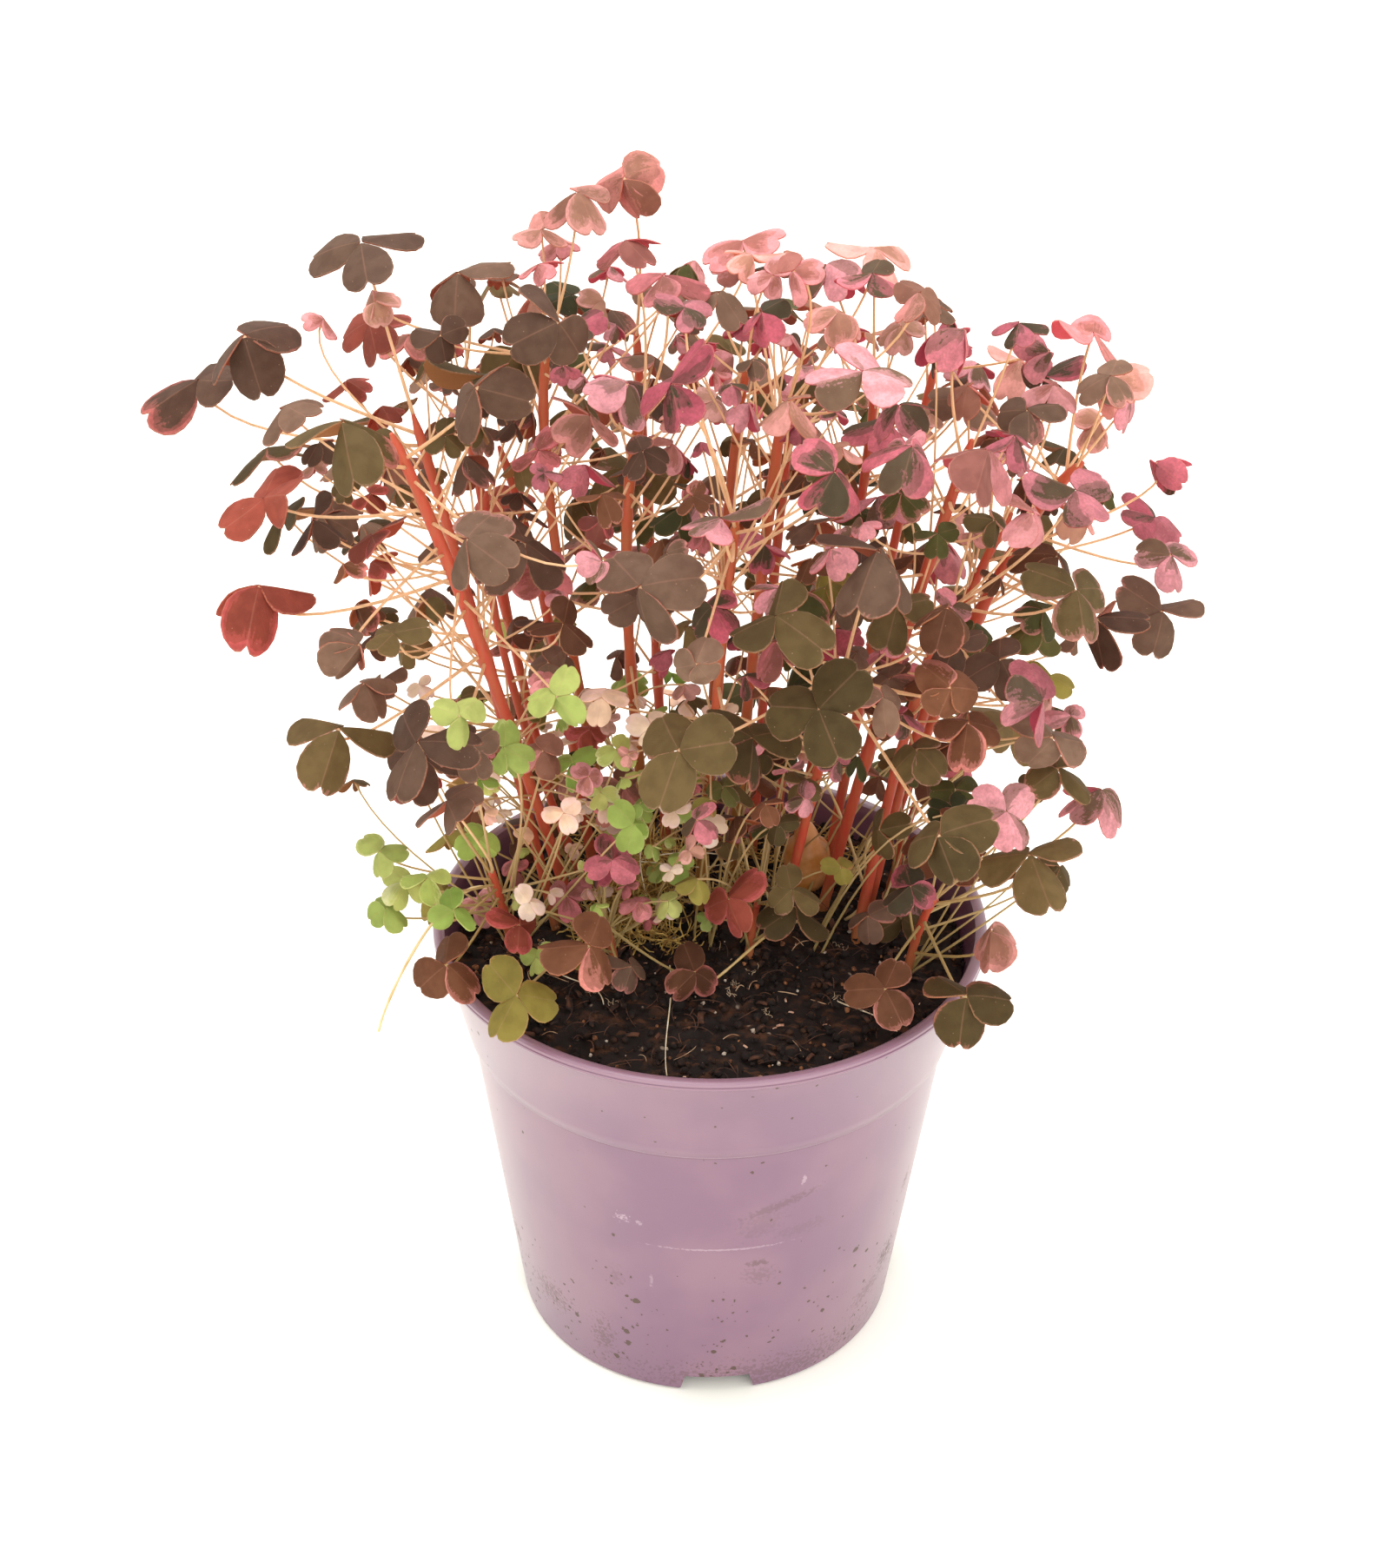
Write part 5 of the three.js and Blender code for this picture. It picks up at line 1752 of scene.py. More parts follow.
@dataclass
class Foliage:
    """The stems with their petioles and leaves, one piece for each stem.

    Attributes:
        space: The way to the frame's metres.
        slots: The record's material slot of each node.
        leaf_pattern: The flat leaf.
        stem_rod: The rod that stems are bent from.
        petiole_rod: The rod that petioles are bent from.
        petiole_radius: A petiole's radius.
        amber_stems: The stems whose lower part is amber.
        red_skin: What the other stems are covered with.
        amber_skin: What these are covered with.
        flat_leaf: The pattern of all leaves.
        straight_stem: The pattern of all stems.
        straight_petiole: The pattern of all petioles.
    """

    space: PlantSpace
    slots: dict[str, str]
    leaf_pattern: LeafPattern = field(default_factory=LeafPattern)
    stem_rod: RodPattern = RodPattern(10, 30)
    petiole_rod: RodPattern = RodPattern(5, 9)
    petiole_radius: float = 0.28
    amber_stems: tuple[str, ...] = (
        "stem_middle",
        "stem_centre",
        "stem_tall_left",
        "stem_centre_rear",
        "stem_top",
    )
    red_skin: Material = field(init=False)
    amber_skin: Material = field(init=False)
    flat_leaf: Piece = field(init=False)
    straight_stem: Piece = field(init=False)
    straight_petiole: Piece = field(init=False)

    def build(self, stems: Sequence[Stem], low: dict[str, list[Leaf]]) -> None:
        """Builds a piece for each stem and for each patch of low leaves.

        Args:
            stems: The grown stems.
            low: The leaves that grow straight from the soil, by piece.
        """
        leaf_skin = LeafSkin().material()
        self.red_skin = StalkSkin("fleshy_red_stem", "#b07a4a", "#cd4c3a", (96, 118), 0.2).material()
        self.amber_skin = StalkSkin("fleshy_amber_stem", "#a87238", "#c9573c", (122, 165), 0.2).material()
        petiole_skin = StalkSkin("pale_petiole", "#bfa86e", "#f4c9a2", (98, 180), 0.4).material()
        self.flat_leaf = self.leaf_pattern.model()
        self.flat_leaf.data.materials.append(leaf_skin)
        self.straight_stem = self.stem_rod.model()
        self.straight_petiole = self.petiole_rod.model()
        self.straight_petiole.data.materials.append(petiole_skin)
        draw = Draw(4711)
        for stem in stems:
            parts = [self.stem_piece(stem), *self.leaf_pieces(stem.leaves, draw)]
            piece = joined(parts, "leafy_" + stem.name)
            shade_by_angle(piece, 50)
            hand_in(piece, self.slots[stem.name], stem.name)
        for name, leaves in low.items():
            piece = joined(self.leaf_pieces(leaves, draw), name)
            shade_by_angle(piece, 50)
            hand_in(piece, "foliage_lime")
        for pattern in (self.flat_leaf, self.straight_stem, self.straight_petiole):
            remove(pattern)

    def leaf_pieces(self, leaves: Sequence[Leaf], draw: Draw) -> list[Piece]:
        """Makes leaves and their petioles.

        Args:
            leaves: The leaves.
            draw: Where the random numbers come from.

        Returns:
            Their mesh objects, not yet joined.
        """
        pieces = []
        for leaf in leaves:
            pieces += [self.petiole_piece(leaf), self.leaf_piece(leaf, draw)]
        return pieces

    def stem_piece(self, stem: Stem) -> Piece:
        """Bends a stem that tapers, swells where petioles leave it and ends in a blunt bud.

        Args:
            stem: The stem.

        Returns:
            The stem's mesh object.
        """
        piece = copy_of(self.straight_stem)
        piece.data.materials.append(self.amber_skin if stem.name in self.amber_stems else self.red_skin)
        shares = np.linspace(0, 1, self.stem_rod.steps + 1)
        radii = 0.72 * min(stem.radius, 1.9) * (1 - 0.32 * shares)
        for leaf in stem.leaves:
            nearest = np.argmin(((stem.line.at(shares) - leaf.root) ** 2).sum(axis=1))
            radii = radii + 0.05 * stem.radius * np.exp(-(((shares - shares[nearest]) / 0.02) ** 2))
        radii *= 1 + 0.04 * np.sin(shares * 47 + stem.radius * 9)
        radii[-1] *= 0.45
        line = stem.line.at(shares)
        put_vertices(piece, self.space.metres(self.stem_rod.laid(places_of(piece), line, radii)))
        return piece

    def petiole_piece(self, leaf: Leaf) -> Piece:
        """Bends a leaf's petiole, thicker at its root and in a knot under the hub.

        Args:
            leaf: The leaf.

        Returns:
            The petiole's mesh object.
        """
        piece = copy_of(self.straight_petiole)
        shares = np.linspace(0, 1, self.petiole_rod.steps + 1)
        slim = self.petiole_radius * (0.6 + 0.03 * leaf.length)
        radii = slim * (1 + 0.5 * shares**3)
        radii[0] = slim * 1.7
        places = self.petiole_rod.laid(places_of(piece), leaf.petiole().at(shares), radii)
        put_vertices(piece, self.space.metres(places))
        return piece

    def leaf_piece(self, leaf: Leaf, draw: Draw) -> Piece:
        """Returns a leaf with its own waves and colours.

        Args:
            leaf: The leaf.
            draw: Where its random numbers come from.

        Returns:
            The leaf object.
        """
        piece = copy_of(self.flat_leaf)
        flat = places_of(piece).reshape(3, -1, 3).transpose(0, 2, 1)
        bent = [self.bent_leaflet(leaf, number, shape, draw) for number, shape in enumerate(flat)]
        put_vertices(piece, self.space.metres(np.concatenate(bent)))
        self.colour(piece, leaf, draw)
        return piece

    @staticmethod
    def bent_leaflet(leaf: Leaf, number: int, flat: np.ndarray, draw: Draw) -> np.ndarray:
        """Bends the flat leaflet to its place on a leaf, with its own size, twist, fold and waves.

        Args:
            leaf: The leaf.
            number: Which of the three leaflets.
            flat: Shares along and across, and the lift, of the pattern's vertices.
            draw: Where the random numbers come from.

        Returns:
            The vertices' places in millimetres.
        """
        along, across, lift = flat
        out, side, face = leaf.axes(number)
        size = leaf.length * (0.88 if leaf.look in PALE_LOOKS else 0.98)
        length = size * draw.between(0.76, 0.95)
        half_width = size * 0.43 * draw.between(0.82, 1.04) * (1 + draw.between(-0.12, 0.35) * (0.55 - along))
        twist = math.radians(draw.between(-34, 34))
        droop = leaf.droop + math.radians(draw.between(-18, 28))
        fold, curl = draw.between(0.08, 0.56), draw.between(-0.06, 0.18)
        turned_side = side * math.cos(twist) + face * math.sin(twist)
        turned_face = face * math.cos(twist) - side * math.sin(twist)
        wave = 0.04 * length * np.sin(along * draw.between(3, 7) + draw.between(0, 6.3)) * np.abs(across)
        rise = lift + wave - (fold * np.abs(across) + 0.1 * across**2) * half_width - curl * length * along**2
        return (
            leaf.hub
            + np.outer(along * length * math.cos(droop), out)
            - np.outer(along**1.25 * length * math.sin(droop), leaf.normal)
            + np.outer(across * half_width, turned_side)
            + np.outer(rise + 0.03 * length, turned_face)
        )

    @staticmethod
    def colour(piece: Piece, leaf: Leaf, draw: Draw) -> None:
        """Writes a leaf's colours and the pattern of each leaflet to its attributes.

        Args:
            piece: The leaf's mesh object.
            leaf: The leaf.
            draw: Where the random numbers come from.
        """
        tones = TONES[leaf.look]
        count = len(piece.data.vertices) // 3
        kin, glow = draw.next(), draw.between(0.82, 1.2)
        hues = {name: [] for name in LEAF_COLOURS}
        patterns = []
        side = 1 if draw.next() < 0.5 else -1
        sided = 0.75 if leaf.look is Look.PINK else 0.3
        for _ in range(3):
            near = min(1.0, max(0.0, kin + draw.between(-0.15, 0.15)))
            hues["ground"].append(mixed(tones.ground, near) * glow)
            hues["marking"].append(mixed(tones.marking, near) * glow)
            hues["under"].append(np.array(linear(tones.under)) * glow)
            chance = draw.next()
            spread = -0.3 * chance / tones.plain if chance < tones.plain else draw.between(*tones.spread)
            lean = side * draw.between(0.5, 1.0) if draw.next() < sided else draw.between(-0.2, 0.2)
            patterns.append((spread, lean, draw.next()))
        for name, colours in hues.items():
            values = np.repeat(np.array(colours), count, axis=0)
            piece.data.attributes[name].data.foreach_set("color", values.astype(np.float32).ravel())
        values = np.repeat(np.array(patterns), count, axis=0)
        piece.data.attributes["pattern"].data.foreach_set("vector", values.astype(np.float32).ravel())


# The pot


@dataclass(frozen=True)
class Mark:
    """A mark on the pot's outside.

    Attributes:
        angle: Its place to the right of the front, in degrees.
        height: Its height in millimetres.
        length: Half its length round the pot in millimetres.
        width: Half its width in millimetres.
        strength: How clearly it shows, from 0 to 1.
        slope: How far it rises for each millimetre round the pot.
        ragged: How much noise breaks its edge.
    """

    angle: float
    height: float
    length: float
    width: float
    strength: float
    slope: float = 0.0
    ragged: float = 0.8


@dataclass(frozen=True)
class NurseryPlastic:
    """Injection-moulded polypropylene in mauve: a soft gloss that pales where it is seen aslant.

    Attributes:
        colour: The plastic's own colour.
        faded: Its colour where light has bleached it.
        lip_highlight: The lighter colour painted on the lip as a highlight.
        dirt_and_shade: The colour of splashed peat, and of the painted shade under the collar's step.
        chalk_and_highlight: The colour of scratches, lime flecks and the painted highlight along the collar's
            step.
        chalk_and_highlight_marks: Pale flecks, the mould's arc, and a painted highlight along the collar's
            step.
        dirt_and_shade_marks: Smudges of dried peat water, and a painted shade line under the collar's step.
    """

    colour: str = "#6f4864"
    faded: str = "#7c566b"
    lip_highlight: str = "#8a687a"
    dirt_and_shade: str = "#4a322a"
    chalk_and_highlight: str = "#ecd8e2"
    chalk_and_highlight_marks: tuple[Mark, ...] = (
        # The first is a painted highlight: a pale line all round along the edge of the collar's step.
        Mark(0.0, 75.8, 900.0, 0.28, 0.2, 0.0, 0.15),
        Mark(4.2, 47.0, 17.0, 0.35, 0.16, 0.0, 1.2),
        Mark(-21.0, 53.9, 1.7, 1.3, 0.26, 0.0, 2.2),
        Mark(-16.4, 53.4, 0.9, 0.8, 0.2, 0.0, 1.8),
        Mark(23.5, 65.3, 0.6, 1.8, 0.2, 0.8, 1.4),
        Mark(-14.0, 36.0, 0.5, 2.6, 0.12, 1.5, 1.4),
        Mark(150.0, 58.0, 3.6, 0.7, 0.4, 0.3, 1.4),
        Mark(-118.0, 40.0, 2.2, 1.1, 0.4, 0.0, 1.6),
    )
    dirt_and_shade_marks: tuple[Mark, ...] = (
        # The first is a painted shade: a dark line all round just under the collar's step.
        Mark(0.0, 75.0, 900.0, 0.45, 0.16, 0.0, 0.15),
        Mark(18.0, 59.0, 9.5, 1.5, 0.34, 0.3, 1.4),
        Mark(14.0, 54.0, 5.5, 4.5, 0.16, 0.3, 1.6),
        Mark(24.0, 50.0, 7.0, 2.2, 0.14, 0.1, 1.6),
        Mark(13.4, 42.0, 2.6, 1.2, 0.5, 0.0, 1.4),
        Mark(14.0, 38.0, 4.0, 3.0, 0.25, 0.0, 2.2),
        Mark(-24.0, 34.0, 2.0, 3.0, 0.22, 0.0, 2.2),
        Mark(66.0, 42.0, 1.6, 3.0, 0.7, 0.6, 2.2),
        Mark(63.0, 22.0, 4.0, 4.0, 0.85, 0.0, 3.0),
        Mark(56.0, 16.0, 7.0, 3.0, 0.4, 0.4, 3.0),
        Mark(-69.0, 22.0, 2.0, 3.0, 0.8, 0.0, 2.6),
        Mark(-50.0, 16.0, 6.0, 4.0, 0.5, 0.0, 3.0),
        Mark(-30.0, 12.0, 3.0, 6.0, 0.45, 0.0, 3.0),
        Mark(20.0, 4.0, 30.0, 5.0, 0.4, 0.0, 3.4),
        Mark(-140.0, 62.0, 7.0, 2.0, 0.3, -0.2, 1.6),
        Mark(96.0, 33.0, 5.0, 3.0, 0.25, 0.4, 2.0),
    )

    def material(self, space: PlantSpace) -> Material:
        """Builds the material about the pot's axis.

        Args:
            space: The way to the frame's metres.

        Returns:
            The material.
        """
        material, tree = new_material("mauve_polypropylene")
        place = add_node(tree, "TexCoord").outputs["Object"]
        sizes = {"Location": (-space.axis_x, -space.axis_y, 0), "Scale": (MILLIMETRES,) * 3}
        centred = add_node(tree, "Mapping", {"Vector": place, **sizes})
        x, y, height = add_node(tree, "SeparateXYZ", {0: centred}).outputs
        back = add_node(tree, "Math", {0: y, 1: -1.0}, operation="MULTIPLY")
        angle = add_node(tree, "Math", {0: x, 1: back}, operation="ARCTAN2")
        cloud = add_node(tree, "TexNoise", {"Vector": centred, "Scale": 1 / 25, "Detail": 3.0})
        rag = add_node(tree, "TexNoise", {"Vector": centred, "Scale": 1.3, "Detail": 5.0})
        # Peat specks and smudges, with the painted shade under the collar's step; all of them thin the coat.
        soiled_and_shaded = self.specks(tree, centred, 2.4, 0.3)
        dirt_and_shade = [self.shown(tree, mark, angle, height, rag) for mark in self.dirt_and_shade_marks]
        for layer in (self.specks(tree, centred, 1.1, 0.4), *dirt_and_shade):
            soiled_and_shaded = add_node(tree, "Math", {0: soiled_and_shaded, 1: layer}, operation="MAXIMUM")
        # A painted highlight: the lip turns lighter over its top 3 mm.
        lip = {0: height, 1: PotForm.height - 3, 2: PotForm.height - 0.5}
        # Pale flecks and the mould's arc, with the painted highlight along the collar's step first.
        chalk_and_highlight = [self.shown(tree, mark, angle, height, rag) for mark in self.chalk_and_highlight_marks]
        colour = layered(
            tree,
            linear(self.colour),
            (add_node(tree, "MapRange", {0: cloud, 1: 0.35, 2: 0.7}, **SOFT_STEP), 1.0, linear(self.faded)),
            *((mark, 1.0, linear(self.chalk_and_highlight)) for mark in chalk_and_highlight),
            (soiled_and_shaded, 1.0, linear(self.dirt_and_shade)),
            (add_node(tree, "MapRange", lip, **SOFT_STEP), 0.8, linear(self.lip_highlight)),
        )
        fine = add_node(tree, "TexNoise", {"Vector": centred, "Scale": 2.0, "Detail": 2.0})
        inputs = {
            "Base Color": colour,
            "Roughness": add_node(tree, "MapRange", {0: cloud, 3: 0.34, 4: 0.46}),
            "Normal": add_node(tree, "Bump", {"Strength": 0.08, "Distance": 0.0002, "Height": fine}),
            "Specular IOR Level": 0.6,
            "Coat Weight": add_node(tree, "MapRange", {0: soiled_and_shaded, 3: 0.7, 4: 0.0}),
            "Coat Roughness": 0.3,
        }
        add_node(tree, "OutputMaterial", {0: add_node(tree, "BsdfPrincipled", inputs)})
        return material

    @staticmethod
    def shown(tree: Tree, mark: Mark, angle: Any, height: Any, rag: Any) -> Any:
        """Tells how clearly a mark shows at a point of the wall.

        Args:
            tree: The material's node tree.
            mark: The mark.
            angle: The point's angle from the front, in radians.
            height: Its height in millimetres.
            rag: Noise that breaks the mark's edge.

        Returns:
            The share from 0 to the mark's strength.
        """
        radius = PotForm.outer(mark.height)
        start = -radius * math.radians(mark.angle)
        round_way = add_node(tree, "Math", {0: angle, 1: radius, 2: start}, operation="MULTIPLY_ADD")
        level = add_node(tree, "Math", {0: round_way, 1: -mark.slope, 2: height}, operation="MULTIPLY_ADD")
        up_way = add_node(tree, "Math", {0: level, 1: -mark.height}, operation="ADD")
        flat = add_node(tree, "CombineXYZ", {0: round_way, 1: up_way})
        shares = {0: flat, 1: (1 / mark.length, 1 / mark.width, 0)}
        sized = add_node(tree, "VectorMath", shares, operation="MULTIPLY")
        distance = add_node(tree, "VectorMath", {0: sized}, operation="LENGTH")
        torn = add_node(tree, "Math", {0: rag, 1: mark.ragged * 2, 2: distance}, operation="MULTIPLY_ADD")
        edge = 1 + mark.ragged
        return add_node(tree, "MapRange", {0: torn, 1: edge, 2: edge * 0.75, 4: mark.strength}, **SOFT_STEP)

    @staticmethod
    def specks(tree: Tree, centred: Any, width: float, share: float) -> Any:
        """Draws specks of dried peat of uneven shape, gathered in patches near the foot and sparse above.

        Args:
            tree: The material's node tree.
            centred: The point, in millimetres from the pot's axis.
            width: The size of the cells that can hold one speck each, in millimetres.
            share: How many cells hold one where they are thick.

        Returns:
            1 on a speck and 0 elsewhere.
        """
        _, _, height = add_node(tree, "SeparateXYZ", {0: centred}).outputs
        sway = add_node(tree, "TexNoise", {"Vector": centred, "Scale": 0.9}).outputs["Color"]
        bent = add_node(tree, "VectorMath", {0: centred, 1: sway}, operation="ADD")
        cells = add_node(tree, "TexVoronoi", {"Vector": bent, "Scale": 1 / width})
        chance, size, _ = add_node(tree, "SeparateXYZ", {0: cells.outputs["Color"]}).outputs
        gathered = add_node(tree, "TexNoise", {"Vector": centred, "Scale": 1 / 9, "Detail": 2.0})
        patches = add_node(tree, "MapRange", {0: gathered, 1: 0.44, 2: 0.62, 4: share}, **SOFT_STEP)
        low = add_node(tree, "MapRange", {0: height, 1: 50.0, 2: 4.0}, **SOFT_STEP)
        rare = add_node(tree, "Math", {0: low, 1: patches, 2: 0.012}, operation="MULTIPLY_ADD")
        chosen = add_node(tree, "Math", {0: chance, 1: rare}, operation="LESS_THAN")
        reach = add_node(tree, "Math", {0: size, 1: 0.34, 2: 0.06}, operation="MULTIPLY_ADD")
        dot = add_node(tree, "Math", {0: cells, 1: reach}, operation="LESS_THAN")
        return add_node(tree, "Math", {0: dot, 1: chosen}, operation="MULTIPLY")


@dataclass
class NurseryPot:
    """The thin mauve pot with its rolled lip, collar, foot ring and drain notches.

    Attributes:
        space: The way to the frame's metres.
        sides: How round it is.
        notch_width: A notch's width at the ground.
        notch_top: Its width at the top.
        notch_height: Its height.
        notch_depth: How far it is cut inwards.
        notch_turn: How far the first is turned from the front, in degrees.
    """

    space: PlantSpace
    sides: int = 144
    notch_width: float = 17.0
    notch_top: float = 14.3
    notch_height: float = 4.8
    notch_depth: float = 9.0
    notch_turn: float = 4.0

    def profile(self) -> list[Span]:
        """Draws the pot's outline.

        Returns:
            Radius and height from the underside's middle out, up to the lip and down inside.
        """
        form = PotForm
        step = form.collar_foot_height
        under_lip = form.height - form.lip_depth
        floor_top = form.floor_height + form.floor_thickness
        ring = form.foot_radius - form.foot_ring_width
        return [
            (ring - 0.4, form.floor_height),
            (ring, form.floor_height - 0.4),
            (ring, 0.3),
            (ring + 0.3, 0.0),
            (form.foot_radius - 0.5, 0.0),
            (form.foot_radius + 0.05, 0.6),
            (form.outer(step - 1), step - 1),
            (form.outer(step - 0.1), step - 0.1),
            (form.outer(step) - 0.2, step + 0.1),
            (form.outer(step) + 0.05, step + 0.35),
            (form.outer(step + 3), step + 3),
            (form.outer(under_lip - 0.8), under_lip - 0.8),
            (form.collar_top_radius + 0.15, under_lip - 0.3),
            (form.lip_radius - 0.35, under_lip + 0.1),
            (form.lip_radius, under_lip + 0.5),
            (form.lip_radius, under_lip + 0.9),
            (form.lip_radius - 0.22, under_lip + 1.05),
            (form.lip_radius - 0.22, under_lip + 1.2),
            (form.lip_radius, under_lip + 1.35),
            (form.lip_radius - 0.1, form.height - 0.4),
            (form.lip_radius - 0.45, form.height - 0.08),
            (form.lip_radius - 0.8, form.height),
            (form.inner(form.height) + 0.7, form.height - 0.1),
            (form.inner(form.height) + 0.1, form.height - 0.5),
            (form.inner(form.height - 2), form.height - 2),
            (form.inner(step), step),
            (form.inner(step - form.step_in), step - form.step_in),
            (form.inner(floor_top + 1), floor_top + 1),
            (form.inner(floor_top) - 1, floor_top),
        ]

    def build(self) -> None:
        """Builds and dresses the pot."""
        profile = self.profile()
        radius, height = profile[0]
        deselect_all()
        place = self.space.spot(0, 0, height)
        bpy.ops.mesh.primitive_circle_add(
            vertices=self.sides, radius=radius / MILLIMETRES, fill_type="NGON", location=place
        )
        pot = bpy.context.object
        bpy.ops.object.transform_apply(location=True)
        raise_rings(pot, profile, self.space)
        face_outwards(pot)
        for number in range(4):
            self.cut_notch(pot, math.radians(self.notch_turn + 90 * number))
        pot.name = pot.data.name = "nursery_pot"
        shade_by_angle(pot, 32)
        pot.data.materials.append(NurseryPlastic().material(self.space))
        hand_in(pot, "pot_plastic", "pot")

    def cut_notch(self, pot: Piece, turn: float) -> None:
        """Cuts a drain notch, narrower at its top, out of the foot.

        Args:
            pot: The pot.
            turn: How far round the notch is, in radians.
        """
        deselect_all()
        bpy.ops.mesh.primitive_cube_add(size=1)
        cutter = bpy.context.object
        below = 1.0
        outside = PotForm.foot_radius + 2
        with editing(cutter):
            bpy.ops.mesh.select_all(action="SELECT")
            tall = (self.notch_height + below) / MILLIMETRES
            size = (self.notch_width / MILLIMETRES, self.notch_depth / MILLIMETRES, tall)
            bpy.ops.transform.resize(value=size, center_override=(0, 0, 0))
            select_vertices(cutter, places_of(cutter)[:, 2] > 0)
            narrow = self.notch_top / self.notch_width
            bpy.ops.transform.resize(value=(narrow, 1, 1), center_override=(0, 0, 0))
            bpy.ops.mesh.select_all(action="SELECT")
            middle = (0, (self.notch_depth / 2 - outside) / MILLIMETRES, tall / 2 - below / MILLIMETRES)
            bpy.ops.transform.translate(value=middle)
        x, y, z = self.space.spot(0, 0, 0)
        cutter.data.transform(Matrix.Translation((x, y, z)) @ Matrix.Rotation(turn, 4, "Z"))
        finish_modifier(pot, "BOOLEAN", operation="DIFFERENCE", object=cutter, solver="EXACT")
        remove(cutter)


def raise_rings(piece: Piece, profile: Sequence[Span], space: PlantSpace) -> None:
    """Draws a round wall out of a piece's face or edge by extruding it ring by ring.

    Args:
        piece: An object whose whole mesh is the first ring.
        profile: Radius and height of each ring in millimetres, the first one included.
        space: The way to the frame's metres.
    """
    with editing(piece):
        bpy.ops.mesh.select_all(action="SELECT")
        for (radius, height), (next_radius, next_height) in pairwise(profile):
            rise = (next_height - height) / MILLIMETRES
            bpy.ops.mesh.extrude_region_move(TRANSFORM_OT_translate={"value": (0, 0, rise)})
            share = next_radius / radius
            centre = space.spot(0, 0, next_height)
            bpy.ops.transform.resize(value=(share, share, 1), center_override=centre)


# The peat and what lies on it


@dataclass(frozen=True)
class Peat:
    """Moist peat: near black, quite rough, with red-brown fibre and a few pale grains in it.

    Attributes:
        dark: The wet crumbs.
        fibre: The red-brown fibre.
        pale: Grains and mould.
    """

    dark: str = "#1d1411"
    fibre: str = "#54331f"
    pale: str = "#9b8878"

    def material(self) -> Material:
        """Builds the material.

        Returns:
            The material.
        """
        material, tree = new_material("moist_peat")
        place = add_node(tree, "TexCoord").outputs["Object"]
        crumbs = add_node(tree, "TexNoise", {"Vector": place, "Scale": MILLIMETRES / 4, "Detail": 6.0})
        turned = {"Vector": place, "Rotation": (0, 0, 0.6), "Scale": (150, 900, 500)}
        slivers = add_node(tree, "Mapping", turned)
        strands = add_node(tree, "TexNoise", {"Vector": slivers, "Scale": 1.0, "Detail": 3.0})
        grains = add_node(tree, "TexVoronoi", {"Vector": place, "Scale": MILLIMETRES / 2.2})
        chance = add_node(tree, "SeparateXYZ", {0: grains.outputs["Color"]})
        chosen = add_node(tree, "Math", {0: chance, 1: 0.05}, operation="LESS_THAN")
        spot = add_node(tree, "MapRange", {0: grains, 1: 0.32, 2: 0.15}, **SOFT_STEP)
        pale = add_node(tree, "Math", {0: chosen, 1: spot}, operation="MULTIPLY")
        thin = {0: strands, 1: 0.58, 2: 0.66}
        colour = layered(
            tree,
            linear(self.dark),
            (add_node(tree, "MapRange", {0: crumbs, 1: 0.5, 2: 0.82}, **SOFT_STEP), 1.0, linear(self.fibre)),
            (add_node(tree, "MapRange", thin, **SOFT_STEP), 0.6, linear(self.fibre)),
            (pale, 0.7, linear(self.pale)),
        )
        bump = add_node(tree, "Bump", {"Strength": 0.8, "Distance": 0.0008, "Height": crumbs})
        inputs = {"Base Color": colour, "Roughness": 0.85, "Specular IOR Level": 0.3, "Normal": bump}
        add_node(tree, "OutputMaterial", {0: add_node(tree, "BsdfPrincipled", inputs)})
        return material


@dataclass(frozen=True)
class DryMatter:
    """Dry plant matter or mineral grains: dull and porous, with a slight change of tone.

    Attributes:
        name: The material's name.
        colour: The main colour.
        other: The colour that it changes to.
        grain: The size of the change in millimetres.
        roughness: How dull it is.
    """

    name: str
    colour: str
    other: str
    grain: float
    roughness: float = 0.85

    def material(self) -> Material:
        """Builds the material.

        Returns:
            The material.
        """
        material, tree = new_material(self.name)
        place = add_node(tree, "TexCoord").outputs["Object"]
        size = MILLIMETRES / self.grain
        change = add_node(tree, "TexNoise", {"Vector": place, "Scale": size, "Detail": 3.0})
        share = add_node(tree, "MapRange", {0: change, 1: 0.35, 2: 0.65}, **SOFT_STEP)
        colour = layered(tree, linear(self.colour), (share, 1.0, linear(self.other)))
        bump = add_node(tree, "Bump", {"Strength": 0.5, "Distance": 0.0002, "Height": change})
        inputs = {"Base Color": colour, "Roughness": self.roughness, "Normal": bump}
        add_node(tree, "OutputMaterial", {0: add_node(tree, "BsdfPrincipled", inputs)})
        return material


def lay_rods(
    name: str,
    matter: DryMatter,
    rod: RodPattern,
    courses: Iterable[tuple[np.ndarray, np.ndarray]],
    space: PlantSpace,
    sharp: float,
) -> None:
    """Lays copies of one rod along lines and joins them into a piece that lies on the peat.

    Args:
        name: The piece's name.
        matter: What it is made of.
        rod: The straight rod.
        courses: For each copy, its line and its radii, one point and one radius for each ring.
        space: The way to the frame's metres.
        sharp: The angle in degrees past which an edge stays sharp.
    """
    pattern = rod.model()
    pattern.data.materials.append(matter.material())
    pieces = []
    for line, radii in courses:
        pieces.append(copy_of(pattern))
        put_vertices(pieces[-1], space.metres(rod.laid(places_of(pattern), line, radii)))
    piece = joined(pieces, name)
    shade_by_angle(piece, sharp)
    hand_in(piece, "soil_peat")
    remove(pattern)


